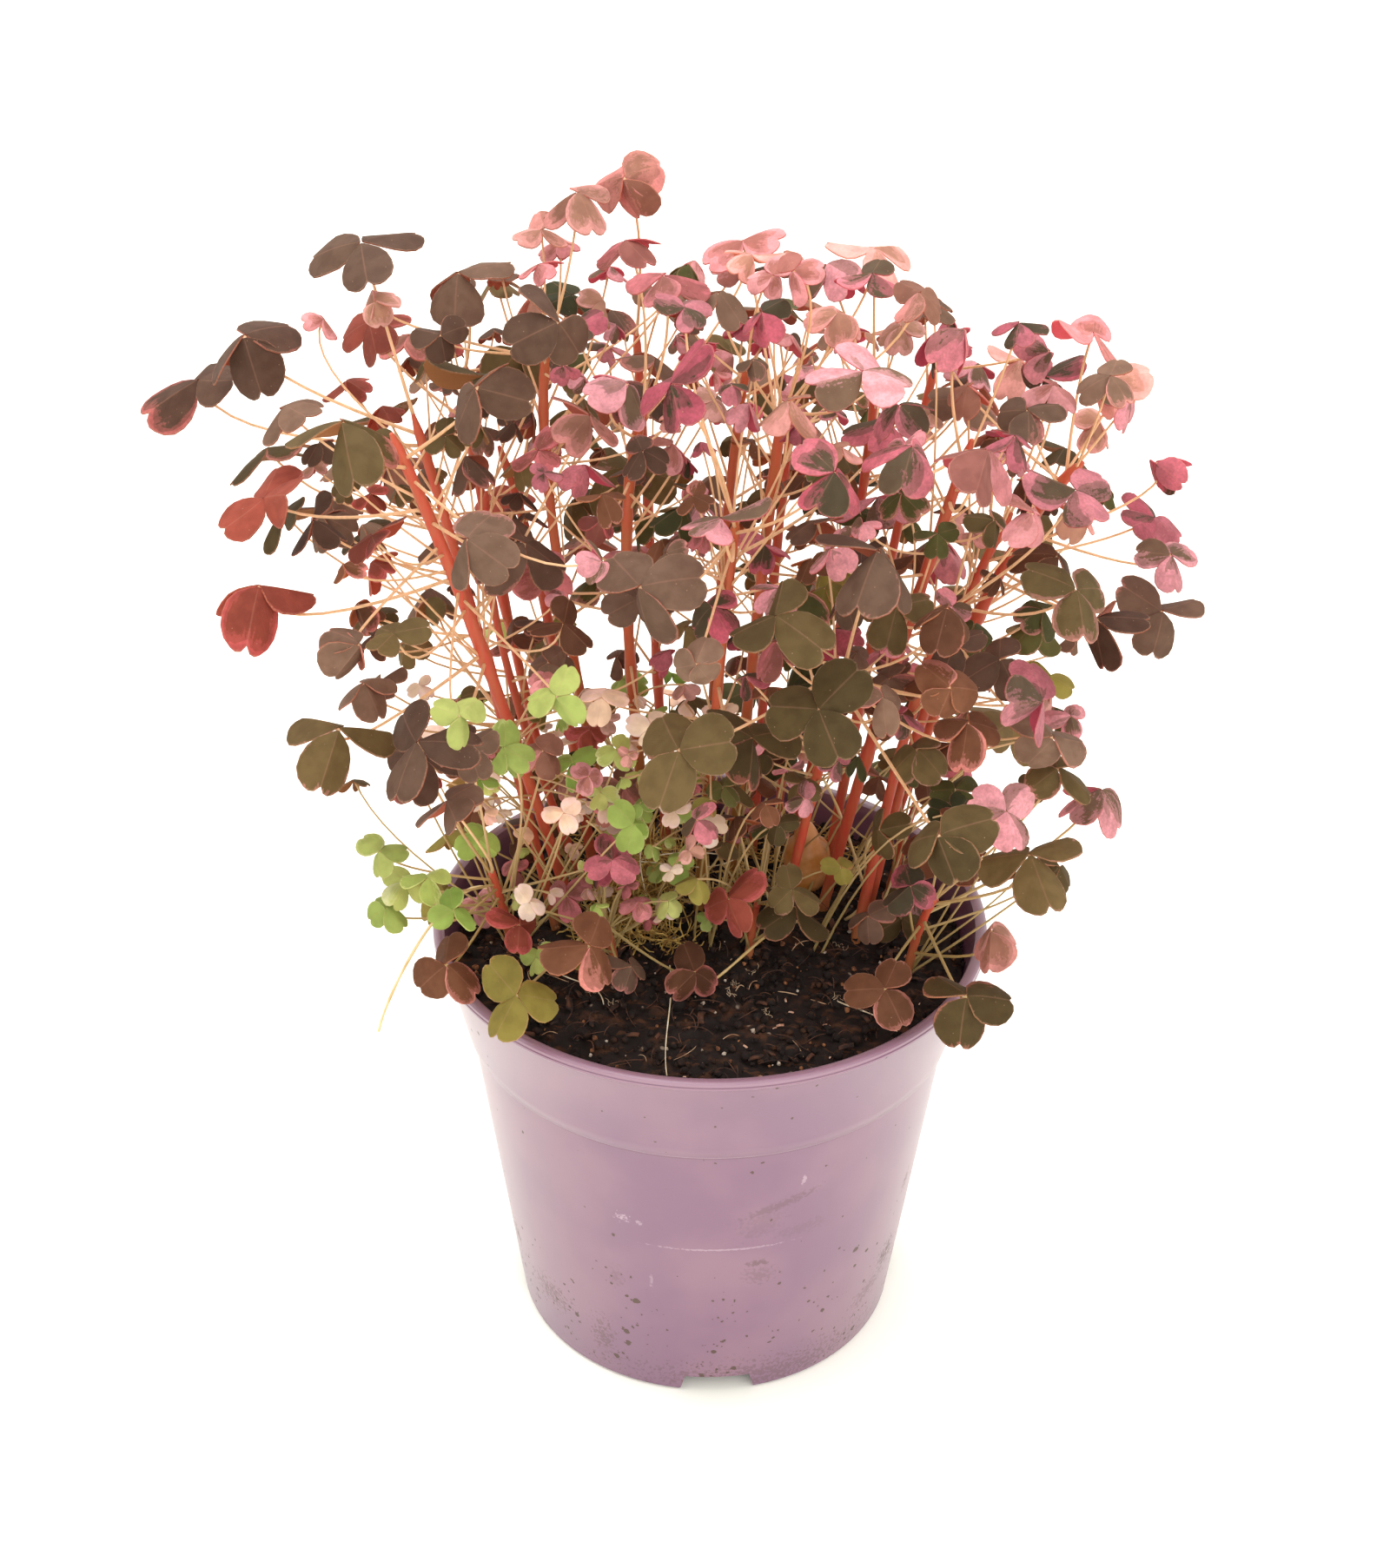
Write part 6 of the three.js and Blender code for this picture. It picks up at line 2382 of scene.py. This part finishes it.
@dataclass
class PeatBed:
    """The peat in the pot with its lumpy top, and the crumbs, chips, fibres and grains that lie on it.

    Attributes:
        space: The way to the frame's metres.
        cuts: How finely the top is divided.
        gap: The gap to the pot's wall.
        reach: How far from the pot's axis things may lie.
        lumps: How many larger crumbs lie on it.
        crumbs: How many fine crumbs.
        fibres: How many dark fibres.
        roots: How many pale dead roots.
        chips: How many chips of bark.
        grains: How many pale mineral grains, with twice as many rusty crumbs.
        flakes: How many pale papery flakes.
    """

    space: PlantSpace
    cuts: int = 59
    gap: float = 0.4
    reach: float = 55.5
    lumps: int = 60
    crumbs: int = 1500
    fibres: int = 230
    roots: int = 28
    chips: int = 110
    grains: int = 90
    flakes: int = 60

    def build(self) -> None:
        """Builds the peat and all that lies on it."""
        self.build_bed()
        draw = Draw(1861)
        bark = DryMatter("bark_chips", "#24150f", "#573320", 2.0)
        sand = DryMatter("mineral_grains", "#94806e", "#cfc0b0", 0.8)
        paper = DryMatter("papery_flakes", "#a9785f", "#e2b9a0", 1.2)
        rust = DryMatter("rusty_crumbs", "#5a3420", "#a0683f", 0.9)
        peat = Peat().material()
        self.scatter("peat_lumps", self.model_crumb(2), self.lumps, (0.9, 2.4), draw, peat)
        self.scatter("peat_crumbs", self.model_crumb(1), self.crumbs, (0.4, 1.3), draw, peat)
        for matter, pattern, count, sizes in (
            (bark, self.model_chip(), self.chips, (0.8, 2.6)),
            (sand, self.model_crumb(1), self.grains, (0.25, 0.7)),
            (paper, self.model_chip(), self.flakes, (0.4, 1.3)),
            (rust, self.model_crumb(1), self.grains * 2, (0.3, 0.8)),
        ):
            self.scatter(matter.name, pattern, count, sizes, draw, matter.material())
        coir = DryMatter("coir_fibres", "#2f1d16", "#5e3a28", 3.0)
        dead_root = DryMatter("dead_roots", "#8a6448", "#c9a683", 3.0)
        rod = RodPattern(4, 7)
        for name, matter, count, radius in (
            ("peat_fibres", coir, self.fibres, 0.085),
            ("pale_roots", dead_root, self.roots, 0.09),
        ):
            courses = self.fibre_courses(count, radius, rod, draw)
            lay_rods(name, matter, rod, courses, self.space, 80)

    def build_bed(self) -> None:
        """Builds the body of peat: a lumpy round top, and sides that follow the pot's inner wall."""
        rim = soil_height(54, 0) - 0.6
        radius = PotForm.inner(rim) - self.gap
        deselect_all()
        bpy.ops.mesh.primitive_circle_add(
            vertices=6, radius=radius / MILLIMETRES, fill_type="TRIFAN", location=self.space.spot(0, 0, rim)
        )
        bed = bpy.context.object
        bpy.ops.object.transform_apply(location=True)
        with editing(bed):
            bpy.ops.mesh.select_all(action="SELECT")
            bpy.ops.mesh.subdivide(number_cuts=self.cuts)
        self.shape_top(bed, radius, rim)
        self.draw_sides(bed, radius, rim)
        face_outwards(bed)
        bed.name = bed.data.name = "peat_bed"
        shade_by_angle(bed, 60)
        bed.data.materials.append(Peat().material())
        hand_in(bed, "soil_peat", "soil")

    def shape_top(self, bed: Piece, radius: float, rim: float) -> None:
        """Rounds the six-sided sheet and gives it its mound, hollows and crumbs.

        Args:
            bed: The flat sheet, with a corner every 60 degrees from the Y axis.
            radius: The radius that it is rounded to.
            rim: The height of its edge.
        """
        places = places_of(bed) * MILLIMETRES - np.array([self.space.axis_x, self.space.axis_y, 0])
        sector = np.pi / 3
        skew = np.mod(np.arctan2(places[:, 1], places[:, 0]) + sector / 2, sector) - sector / 2
        places[:, :2] *= (np.cos(skew) / math.cos(sector / 2))[:, None]
        for place in places:
            x, y, _ = place
            lumps = noise.fractal(Vector((x / 8, y / 8, 3.0)), 0.8, 2.1, 5)
            crumbs = noise.turbulence(Vector((x / 1.9, y / 1.9, 9.0)), 3, False)
            fade = min(1.0, max(0.0, (1 - math.hypot(x, y) / radius) * 18))
            place[2] = rim + (soil_height(x, y) + 1.1 * lumps + 1.1 * (crumbs - 0.5) - rim) * fade
        put_vertices(bed, self.space.metres(places))

    def draw_sides(self, bed: Piece, radius: float, rim: float) -> None:
        """Draws the sheet's edge down along the wall and closes it at the bottom.

        Args:
            bed: The shaped sheet.
            radius: The edge's radius.
            rim: The edge's height.
        """
        waist = PotForm.collar_foot_height - PotForm.step_in
        bottom = PotForm.floor_height + PotForm.floor_thickness + self.gap
        with editing(bed):
            bpy.ops.mesh.select_all(action="SELECT")
            bpy.ops.mesh.region_to_loop()
            for height, next_height in pairwise((rim, waist, bottom)):
                drop = (0, 0, (next_height - height) / MILLIMETRES)
                bpy.ops.mesh.extrude_edges_move(TRANSFORM_OT_translate={"value": drop})
                next_radius = PotForm.inner(next_height) - self.gap
                share = next_radius / radius
                centre = self.space.spot(0, 0, next_height)
                bpy.ops.transform.resize(value=(share, share, 1), center_override=centre)
                radius = next_radius
            bpy.ops.mesh.edge_face_add()

    @staticmethod
    def model_crumb(detail: int) -> Piece:
        """Models a crumb of radius 1: a ball pushed in and out by a seeded noise.

        Args:
            detail: How finely the ball is divided.

        Returns:
            The crumb.
        """
        deselect_all()
        bpy.ops.mesh.primitive_ico_sphere_add(subdivisions=detail, radius=1)
        crumb = bpy.context.object
        places = places_of(crumb)
        for place in places:
            place *= 1 + 0.45 * noise.noise(Vector(place) * 1.3)
        put_vertices(crumb, places)
        return crumb

    @staticmethod
    def model_chip() -> Piece:
        """Models a chip of bark: a flat bar with a slanting end and a ridge.

        Returns:
            The chip.
        """
        deselect_all()
        bpy.ops.mesh.primitive_cube_add(size=2)
        chip = bpy.context.object
        with editing(chip):
            bpy.ops.mesh.select_all(action="SELECT")
            bpy.ops.transform.resize(value=(1, 0.32, 0.14), center_override=(0, 0, 0))
            bpy.ops.mesh.subdivide(number_cuts=1)
            bpy.ops.mesh.select_all(action="SELECT")
            bpy.ops.mesh.bevel(offset=0.05, segments=1)
        places = places_of(chip)
        places[:, 2] += 0.18 * np.cos(places[:, 0] * 1.6) + 0.06 * np.sin(places[:, 1] * 9)
        places[:, 0] += 0.35 * places[:, 1]
        put_vertices(chip, places)
        return chip

    def scatter(
        self,
        name: str,
        pattern: Piece,
        count: int,
        sizes: Span,
        draw: Draw,
        material: Material,
    ) -> None:
        """Lays copies of a pattern about on the peat and joins them.

        Args:
            name: The piece's name.
            pattern: What is copied, about 1 mm in radius.
            count: How many copies.
            sizes: Smallest and largest radius.
            draw: Where the random numbers come from.
            material: What they are made of.
        """
        pattern.data.materials.append(material)
        pieces = []
        for _ in range(count):
            turn, reach = draw.between(0, 2 * math.pi), self.reach * math.sqrt(draw.next())
            size = draw.between(*sizes) * draw.between(0.5, 1)
            reach = min(reach, self.reach + 0.5 - size)
            x, y = reach * math.cos(turn), reach * math.sin(turn)
            spin = Matrix.Rotation(draw.between(0, 6.3), 4, "Z")
            tilt = Matrix.Rotation(draw.between(-0.4, 0.4), 4, "X")
            spot = Matrix.Translation(self.space.spot(x, y, soil_height(x, y) + 0.25 * size))
            pieces.append(copy_of(pattern))
            pieces[-1].data.transform(spot @ spin @ tilt @ Matrix.Scale(size / MILLIMETRES, 4))
        piece = joined(pieces, name)
        shade_by_angle(piece, 60)
        hand_in(piece, "soil_peat")
        remove(pattern)

    @staticmethod
    def fibre_courses(
        count: int, radius: float, rod: RodPattern, draw: Draw
    ) -> Iterator[tuple[np.ndarray, np.ndarray]]:
        """Draws curved fibres that lie on the peat and stay inside the pot.

        Args:
            count: How many.
            radius: Their mean radius.
            rod: The rod that they are bent from.
            draw: Where the random numbers come from.

        Yields:
            A fibre's line and its radii.
        """
        for _ in range(count):
            turn, reach = draw.between(0, 2 * math.pi), 50 * math.sqrt(draw.next())
            x, y = reach * math.cos(turn), reach * math.sin(turn)
            heading, curl, pace = draw.between(0, 6.3), draw.between(-0.22, 0.22), draw.between(0.3, 1.1)
            lift = draw.between(0.2, 1.1)
            points = []
            for step in range(rod.steps + 1):
                if math.hypot(x, y) > 55:
                    x, y = x * 0.97, y * 0.97
                    heading += 1.2
                arch = lift * math.sin(math.pi * step / rod.steps)
                points.append((x, y, soil_height(x, y) + 0.7 + arch))
                heading += curl
                x, y = x + pace * math.cos(heading), y + pace * math.sin(heading)
            radii = np.full(rod.steps + 1, radius) * draw.between(0.7, 1.4)
            radii[[0, -1]] *= 0.4
            yield np.array(points), radii


@dataclass(frozen=True)
class Tangle:
    """A tangle of thin threads round a place.

    Attributes:
        centre: Its middle, in the plant's millimetres.
        spread: How far it reaches along X, Y and Z.
        count: How many threads.
        length: A thread's length.
        radius: A thread's radius.
        curl: How much it turns at each step, in radians.
    """

    centre: tuple[float, float, float]
    spread: tuple[float, float, float]
    count: int
    length: float
    radius: float
    curl: float

    def courses(self, rod: RodPattern, draw: Draw) -> Iterator[tuple[np.ndarray, np.ndarray]]:
        """Draws threads that turn a little at each step and stay above the soil.

        Args:
            rod: The rod that they are bent from.
            draw: Where the random numbers come from.

        Yields:
            A thread's line and its radii.
        """
        for _ in range(self.count):
            offsets = [reach * draw.between(-1, 1) for reach in self.spread]
            point = np.array(self.centre) + np.array(offsets)
            heading, rise = draw.between(0, 6.3), draw.between(-0.7, 0.9)
            points = []
            for _ in range(rod.steps + 1):
                point[2] = max(point[2], soil_height(point[0], point[1]) + 0.4)
                points.append(point.copy())
                heading += draw.between(-self.curl, self.curl)
                rise += draw.between(-self.curl, self.curl)
                flat = math.cos(rise)
                way = np.array([math.cos(heading) * flat, math.sin(heading) * flat, math.sin(rise)])
                point += way * (self.length / rod.steps)
            radii = np.full(rod.steps + 1, self.radius * draw.between(0.6, 1.3))
            radii[-1] *= 0.4
            yield np.array(points), radii


@dataclass
class FootLitter:
    """What hangs and lies between the stems' feet: moss, dead threads, wool, a swollen base and loose stalks.

    Attributes:
        space: The way to the frame's metres.
        moss: The tangles of yellow moss and old roots.
        threads: Single dead threads by the points that they pass.
        stalks: Loose pale stalks by the points that they pass.
    """

    space: PlantSpace
    moss: tuple[Tangle, ...] = (
        Tangle((-17, 8, 98), (8, 6, 5), 330, 6, 0.18, 0.6),
        Tangle((-12, 7, 105), (7, 4, 8), 170, 8, 0.15, 0.6),
        Tangle((-21, -1, 95.5), (9, 4, 2), 240, 5, 0.18, 0.7),
        Tangle((-8, -3, 95), (5, 3, 1.2), 60, 5, 0.17, 0.7),
        Tangle((4, 14, 96), (7, 5, 3), 90, 7, 0.16, 0.5),
        Tangle((16, 30, 96), (14, 8, 3), 110, 8, 0.16, 0.4),
        Tangle((-22, 34, 96), (14, 8, 3), 110, 8, 0.16, 0.4),
    )
    threads: tuple[tuple[Any, ...], ...] = (
        ((-8.3, -20, 100), (-8.0, -27, 96), (-8.6, -38, 94.6), (-8.2, -50, 94.2)),
        ((-2, 0, 119), (-5, 0, 112), (-7, 1, 106), (-11, 2, 100)),
        ((-14, 2, 118), (-15, 1, 110), (-14, 2, 103), (-16, 3, 98)),
        ((-22, -2, 112), (-23, -3, 106), (-21, -3, 100), (-22, -4, 95)),
        ((4, 4, 112), (-2, 2, 114), (-9, 3, 113), (-15, 5, 110)),
        ((-20, 6, 108), (-12, 4, 110), (-3, 4, 109), (6, 5, 111)),
        ((26, -23, 94), (31, -27, 94.5), (35, -29, 94), (39, -34, 94)),
        ((-34, -14, 96), (-30, -18, 95), (-25, -21, 95), (-22, -26, 94)),
    )
    stalks: tuple[tuple[Any, ...], ...] = (
        ((-47, -11, 113), (-57, -12, 107), (-66, -16, 93), (-71, -18, 80)),
        ((19, 4, 95), (14, -6, 100), (7, -15, 99), (0, -21.5, 96.5)),
        ((-14, 16, 93), (-16, 14, 104), (-13, 10, 116), (-10, 6, 130)),
        ((6, 10, 93), (8, 8, 106), (6, 4, 120), (9, -2, 134)),
        ((14, 14, 93), (12, 12, 108), (16, 8, 122), (22, 2, 138)),
        ((-20, 2, 93), (-24, 0, 104), (-22, -3, 116), (-26, -8, 128)),
        ((30, 8, 93), (34, 4, 104), (33, 0, 116), (38, -6, 126)),
        ((36, 10, 93), (32, 12, 106), (28, 12, 118), (24, 10, 128)),
    )

    def build(self) -> None:
        """Builds all of it."""
        draw = Draw(2718)
        hair = RodPattern(3, 5)
        moss = DryMatter("yellow_moss", "#9a7232", "#d9b868", 2.5)
        courses = (course for tangle in self.moss for course in tangle.courses(hair, draw))
        lay_rods("moss_tangle", moss, hair, courses, self.space, 130)
        wool = DryMatter("dry_wool", "#a98a6c", "#dcc4a4", 1.0)
        courses = (course for tuft in self.tufts(draw) for course in tuft.courses(hair, draw))
        lay_rods("mould_wool", wool, hair, courses, self.space, 130)
        cream = DryMatter("dead_thread", "#d2bd9c", "#efe0c4", 3.0)
        pale = DryMatter("loose_stalk", "#c9a86c", "#e2c795", 5.0, 0.5)
        thin = DryMatter("thin_stalk", "#8f6f3c", "#d8bd86", 9.0, 0.5)
        left = self.thicket(13, (-42, 6), (0, 26), (104, 150), draw)
        right = self.thicket(5, (8, 46), (6, 28), (112, 150), draw)
        stalk = RodPattern(6, 18)
        for name, matter, lines, radius in (
            ("dead_threads", cream, self.threads, 0.17),
            ("loose_stalks", pale, self.stalks, 0.42),
            ("thin_stalks", thin, left + right, 0.24),
        ):
            courses = (self.smooth_course(points, radius, stalk) for points in lines)
            lay_rods(name, matter, stalk, courses, self.space, 60)
        self.build_swollen_base()

    @staticmethod
    def tufts(draw: Draw) -> list[Tangle]:
        """Sets out small tufts of wool, most of them on the open peat at the front.

        Args:
            draw: Where the random numbers come from.

        Returns:
            The tufts.
        """
        places = [(-24, -22), (-20, -26), (4, -22), (27, -23), (12, -28)]
        places += [(draw.between(-36, 36), draw.between(-40, 44)) for _ in range(9)]
        tufts = []
        for x, y in places:
            spread = (draw.between(0.6, 1.6), draw.between(0.5, 1.2), 0.4)
            tufts.append(Tangle((x, y, soil_height(x, y) + 0.6), spread, 7, 1.7, 0.07, 0.9))
        return tufts

    @staticmethod
    def thicket(count: int, x: Span, y: Span, z: Span, draw: Draw) -> list[Row]:
        """Sets out thin leafless stalks that stand close together and lean every way.

        Args:
            count: How many.
            x: From where to where they stand.
            y: The same along Y.
            z: How high they reach.
            draw: Where the random numbers come from.

        Returns:
            For each, the four points that it passes.
        """
        lines = []
        for _ in range(count):
            foot_x, foot_y = draw.between(*x), draw.between(*y)
            foot = np.array([foot_x, foot_y, soil_height(foot_x, foot_y) - 0.5])
            tip = np.array([foot_x + draw.between(-22, 22), foot_y + draw.between(-14, 8), draw.between(*z)])
            bow = np.array([draw.between(-7, 7), draw.between(-5, 5), draw.between(-4, 6)])
            lines.append((foot, foot * 0.67 + tip * 0.33 + bow, foot * 0.33 + tip * 0.67 + bow * 0.7, tip))
        return lines

    @staticmethod
    def smooth_course(points: Sequence[Any], radius: float, rod: RodPattern) -> tuple[np.ndarray, np.ndarray]:
        """Draws a smooth thread or stalk through its points.

        Args:
            points: The four points that it passes.
            radius: Its radius at the foot.
            rod: The rod that it is bent from.

        Returns:
            Its line and its radii.
        """
        shares = np.linspace(0, 1, rod.steps + 1)
        controls = np.array(points, dtype=float)
        fits = np.polyfit(np.linspace(0, 1, len(points)), controls, 3)
        line = np.stack([np.polyval(fit, shares) for fit in fits.T], axis=1)
        return line, radius * (1 - 0.35 * shares + 0.1 * np.sin(shares * 31 + controls[0, 0]))

    def build_swollen_base(self) -> None:
        """Builds the amber swelling at a stem's foot: a ball drawn out to a neck, with shallow ribs."""
        deselect_all()
        bpy.ops.mesh.primitive_uv_sphere_add(segments=28, ring_count=20, radius=1)
        base = bpy.context.object
        with editing(base):
            bpy.ops.mesh.select_all(action="SELECT")
            bpy.ops.transform.resize(value=(5.2, 5.0, 9.5), center_override=(0, 0, 0))
            heights = places_of(base)[:, 2]
            select_vertices(base, heights > 0.55)
            bpy.ops.transform.resize(value=(0.72, 0.72, 1.25), center_override=(0, 0, 5.2))
            select_vertices(base, heights > 0.9)
            bpy.ops.transform.resize(value=(0.6, 0.6, 1.2), center_override=(0.4, 0, 9.0))
        places = places_of(base)
        turns = np.arctan2(places[:, 1], places[:, 0])
        ribs = 1 + 0.018 * np.sin(turns * 9 + places[:, 2] * 0.25)
        places[:, 0] = places[:, 0] * ribs - 0.007 * places[:, 2] ** 2
        places[:, 1] *= ribs
        put_vertices(base, self.space.metres(places + np.array([21.6, 20.6, 100.5])))
        base.name = base.data.name = "swollen_base"
        shade_by_angle(base, 60)
        base.data.materials.append(DryMatter("amber_scale", "#b5742f", "#d99a62", 6.0, 0.42).material())
        hand_in(base, "foliage_red")


# The camera, the floor and the lights


@dataclass(frozen=True)
class Studio:
    """The pale floor, the soft lights and the camera at the photo's viewing angle.

    Attributes:
        space: The way to the frame's metres.
        lens: Focal length for a sensor of 36 mm along the picture's long side.
        pitch: How far the camera looks down, in degrees.
        yaw: How far it looks to the right.
        roll: How far it is turned about its own axis.
        world: Brightness of the air round the plant.
        eye: Where the camera stands, in the plant's millimetres.
    """

    space: PlantSpace
    lens: float = 55.84
    pitch: float = 31.27
    yaw: float = -0.46
    roll: float = 0.54
    world: float = 1.4
    eye: tuple[float, float, float] = (0, -437.2, 398.0)

    def build(self) -> None:
        """Builds the floor, the lights and the camera."""
        self.build_camera()
        self.build_floor()
        self.build_world()
        self.add_light("top_light", (-160, 200, 1000), 1000, 9.0)
        self.add_light("front_light", (320, -900, 620), 1000, 5.0)

    def build_camera(self) -> None:
        """Puts the camera where the photo was taken."""
        pitch, yaw, roll = (math.radians(value) for value in (self.pitch, self.yaw, self.roll))
        forward = Vector((math.sin(yaw) * math.cos(pitch), math.cos(yaw) * math.cos(pitch), -math.sin(pitch)))
        right = Vector((math.cos(yaw), -math.sin(yaw), 0))
        up = right.cross(forward)
        turned_right = math.cos(roll) * right + math.sin(roll) * up
        turned_up = math.cos(roll) * up - math.sin(roll) * right
        camera = bpy.data.cameras.new("camera")
        camera.lens = self.lens
        camera.sensor_width = 36
        holder = bpy.data.objects.new("camera", camera)
        turn = Matrix((turned_right, turned_up, -forward)).transposed().to_4x4()
        holder.matrix_world = Matrix.Translation(self.space.spot(*self.eye)) @ turn
        bpy.context.collection.objects.link(holder)
        bpy.context.scene.camera = holder

    def build_floor(self) -> None:
        """Lays the pale floor just under the pot."""
        deselect_all()
        bpy.ops.mesh.primitive_plane_add(size=12, location=(0, 0, -0.0002))
        floor = bpy.context.object
        floor.name = "floor"
        material, tree = new_material("pale_floor")
        add_node(tree, "OutputMaterial", {0: add_node(tree, "BsdfDiffuse", {0: linear("#fbfbf3")})})
        floor.data.materials.append(material)

    def build_world(self) -> None:
        """Fills the room with an even pale light."""
        world = bpy.data.worlds.new("room")
        world.use_nodes = True
        background = world.node_tree.nodes["Background"]
        background.inputs["Color"].default_value = linear("#fffdf8")
        background.inputs["Strength"].default_value = self.world
        bpy.context.scene.world = world
        bpy.context.scene.view_settings.view_transform = "Standard"

    def add_light(self, name: str, place: tuple[float, float, float], size: float, power: float) -> None:
        """Adds a soft light that looks at the plant.

        Args:
            name: The light's name.
            place: Where it hangs, in the plant's millimetres.
            size: The width of its face.
            power: Its power in watts.
        """
        light = bpy.data.lights.new(name, "AREA")
        light.size = size / MILLIMETRES
        light.energy = power
        holder = bpy.data.objects.new(name, light)
        spot = Vector(self.space.spot(*place))
        aim = Vector(self.space.spot(0, 0, 150)) - spot
        holder.location = spot
        holder.rotation_mode = "QUATERNION"
        holder.rotation_quaternion = aim.to_track_quat("-Z", "Y")
        bpy.context.collection.objects.link(holder)


def main() -> None:
    """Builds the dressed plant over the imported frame, class by class."""
    logging.basicConfig(level=logging.INFO, format="%(name)s: %(message)s")
    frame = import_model()
    slots = {row["node"]: row["material_slot"] for row in frame["record"]["subparts"]}
    space = PlantSpace.of_pot()
    Studio(space).build()
    NurseryPot(space).build()
    PeatBed(space).build()
    growth = Growth()
    stems = growth.grow()
    Foliage(space, slots).build(stems, growth.low)
    FootLitter(space).build()


if __name__ == "__main__":
    main()
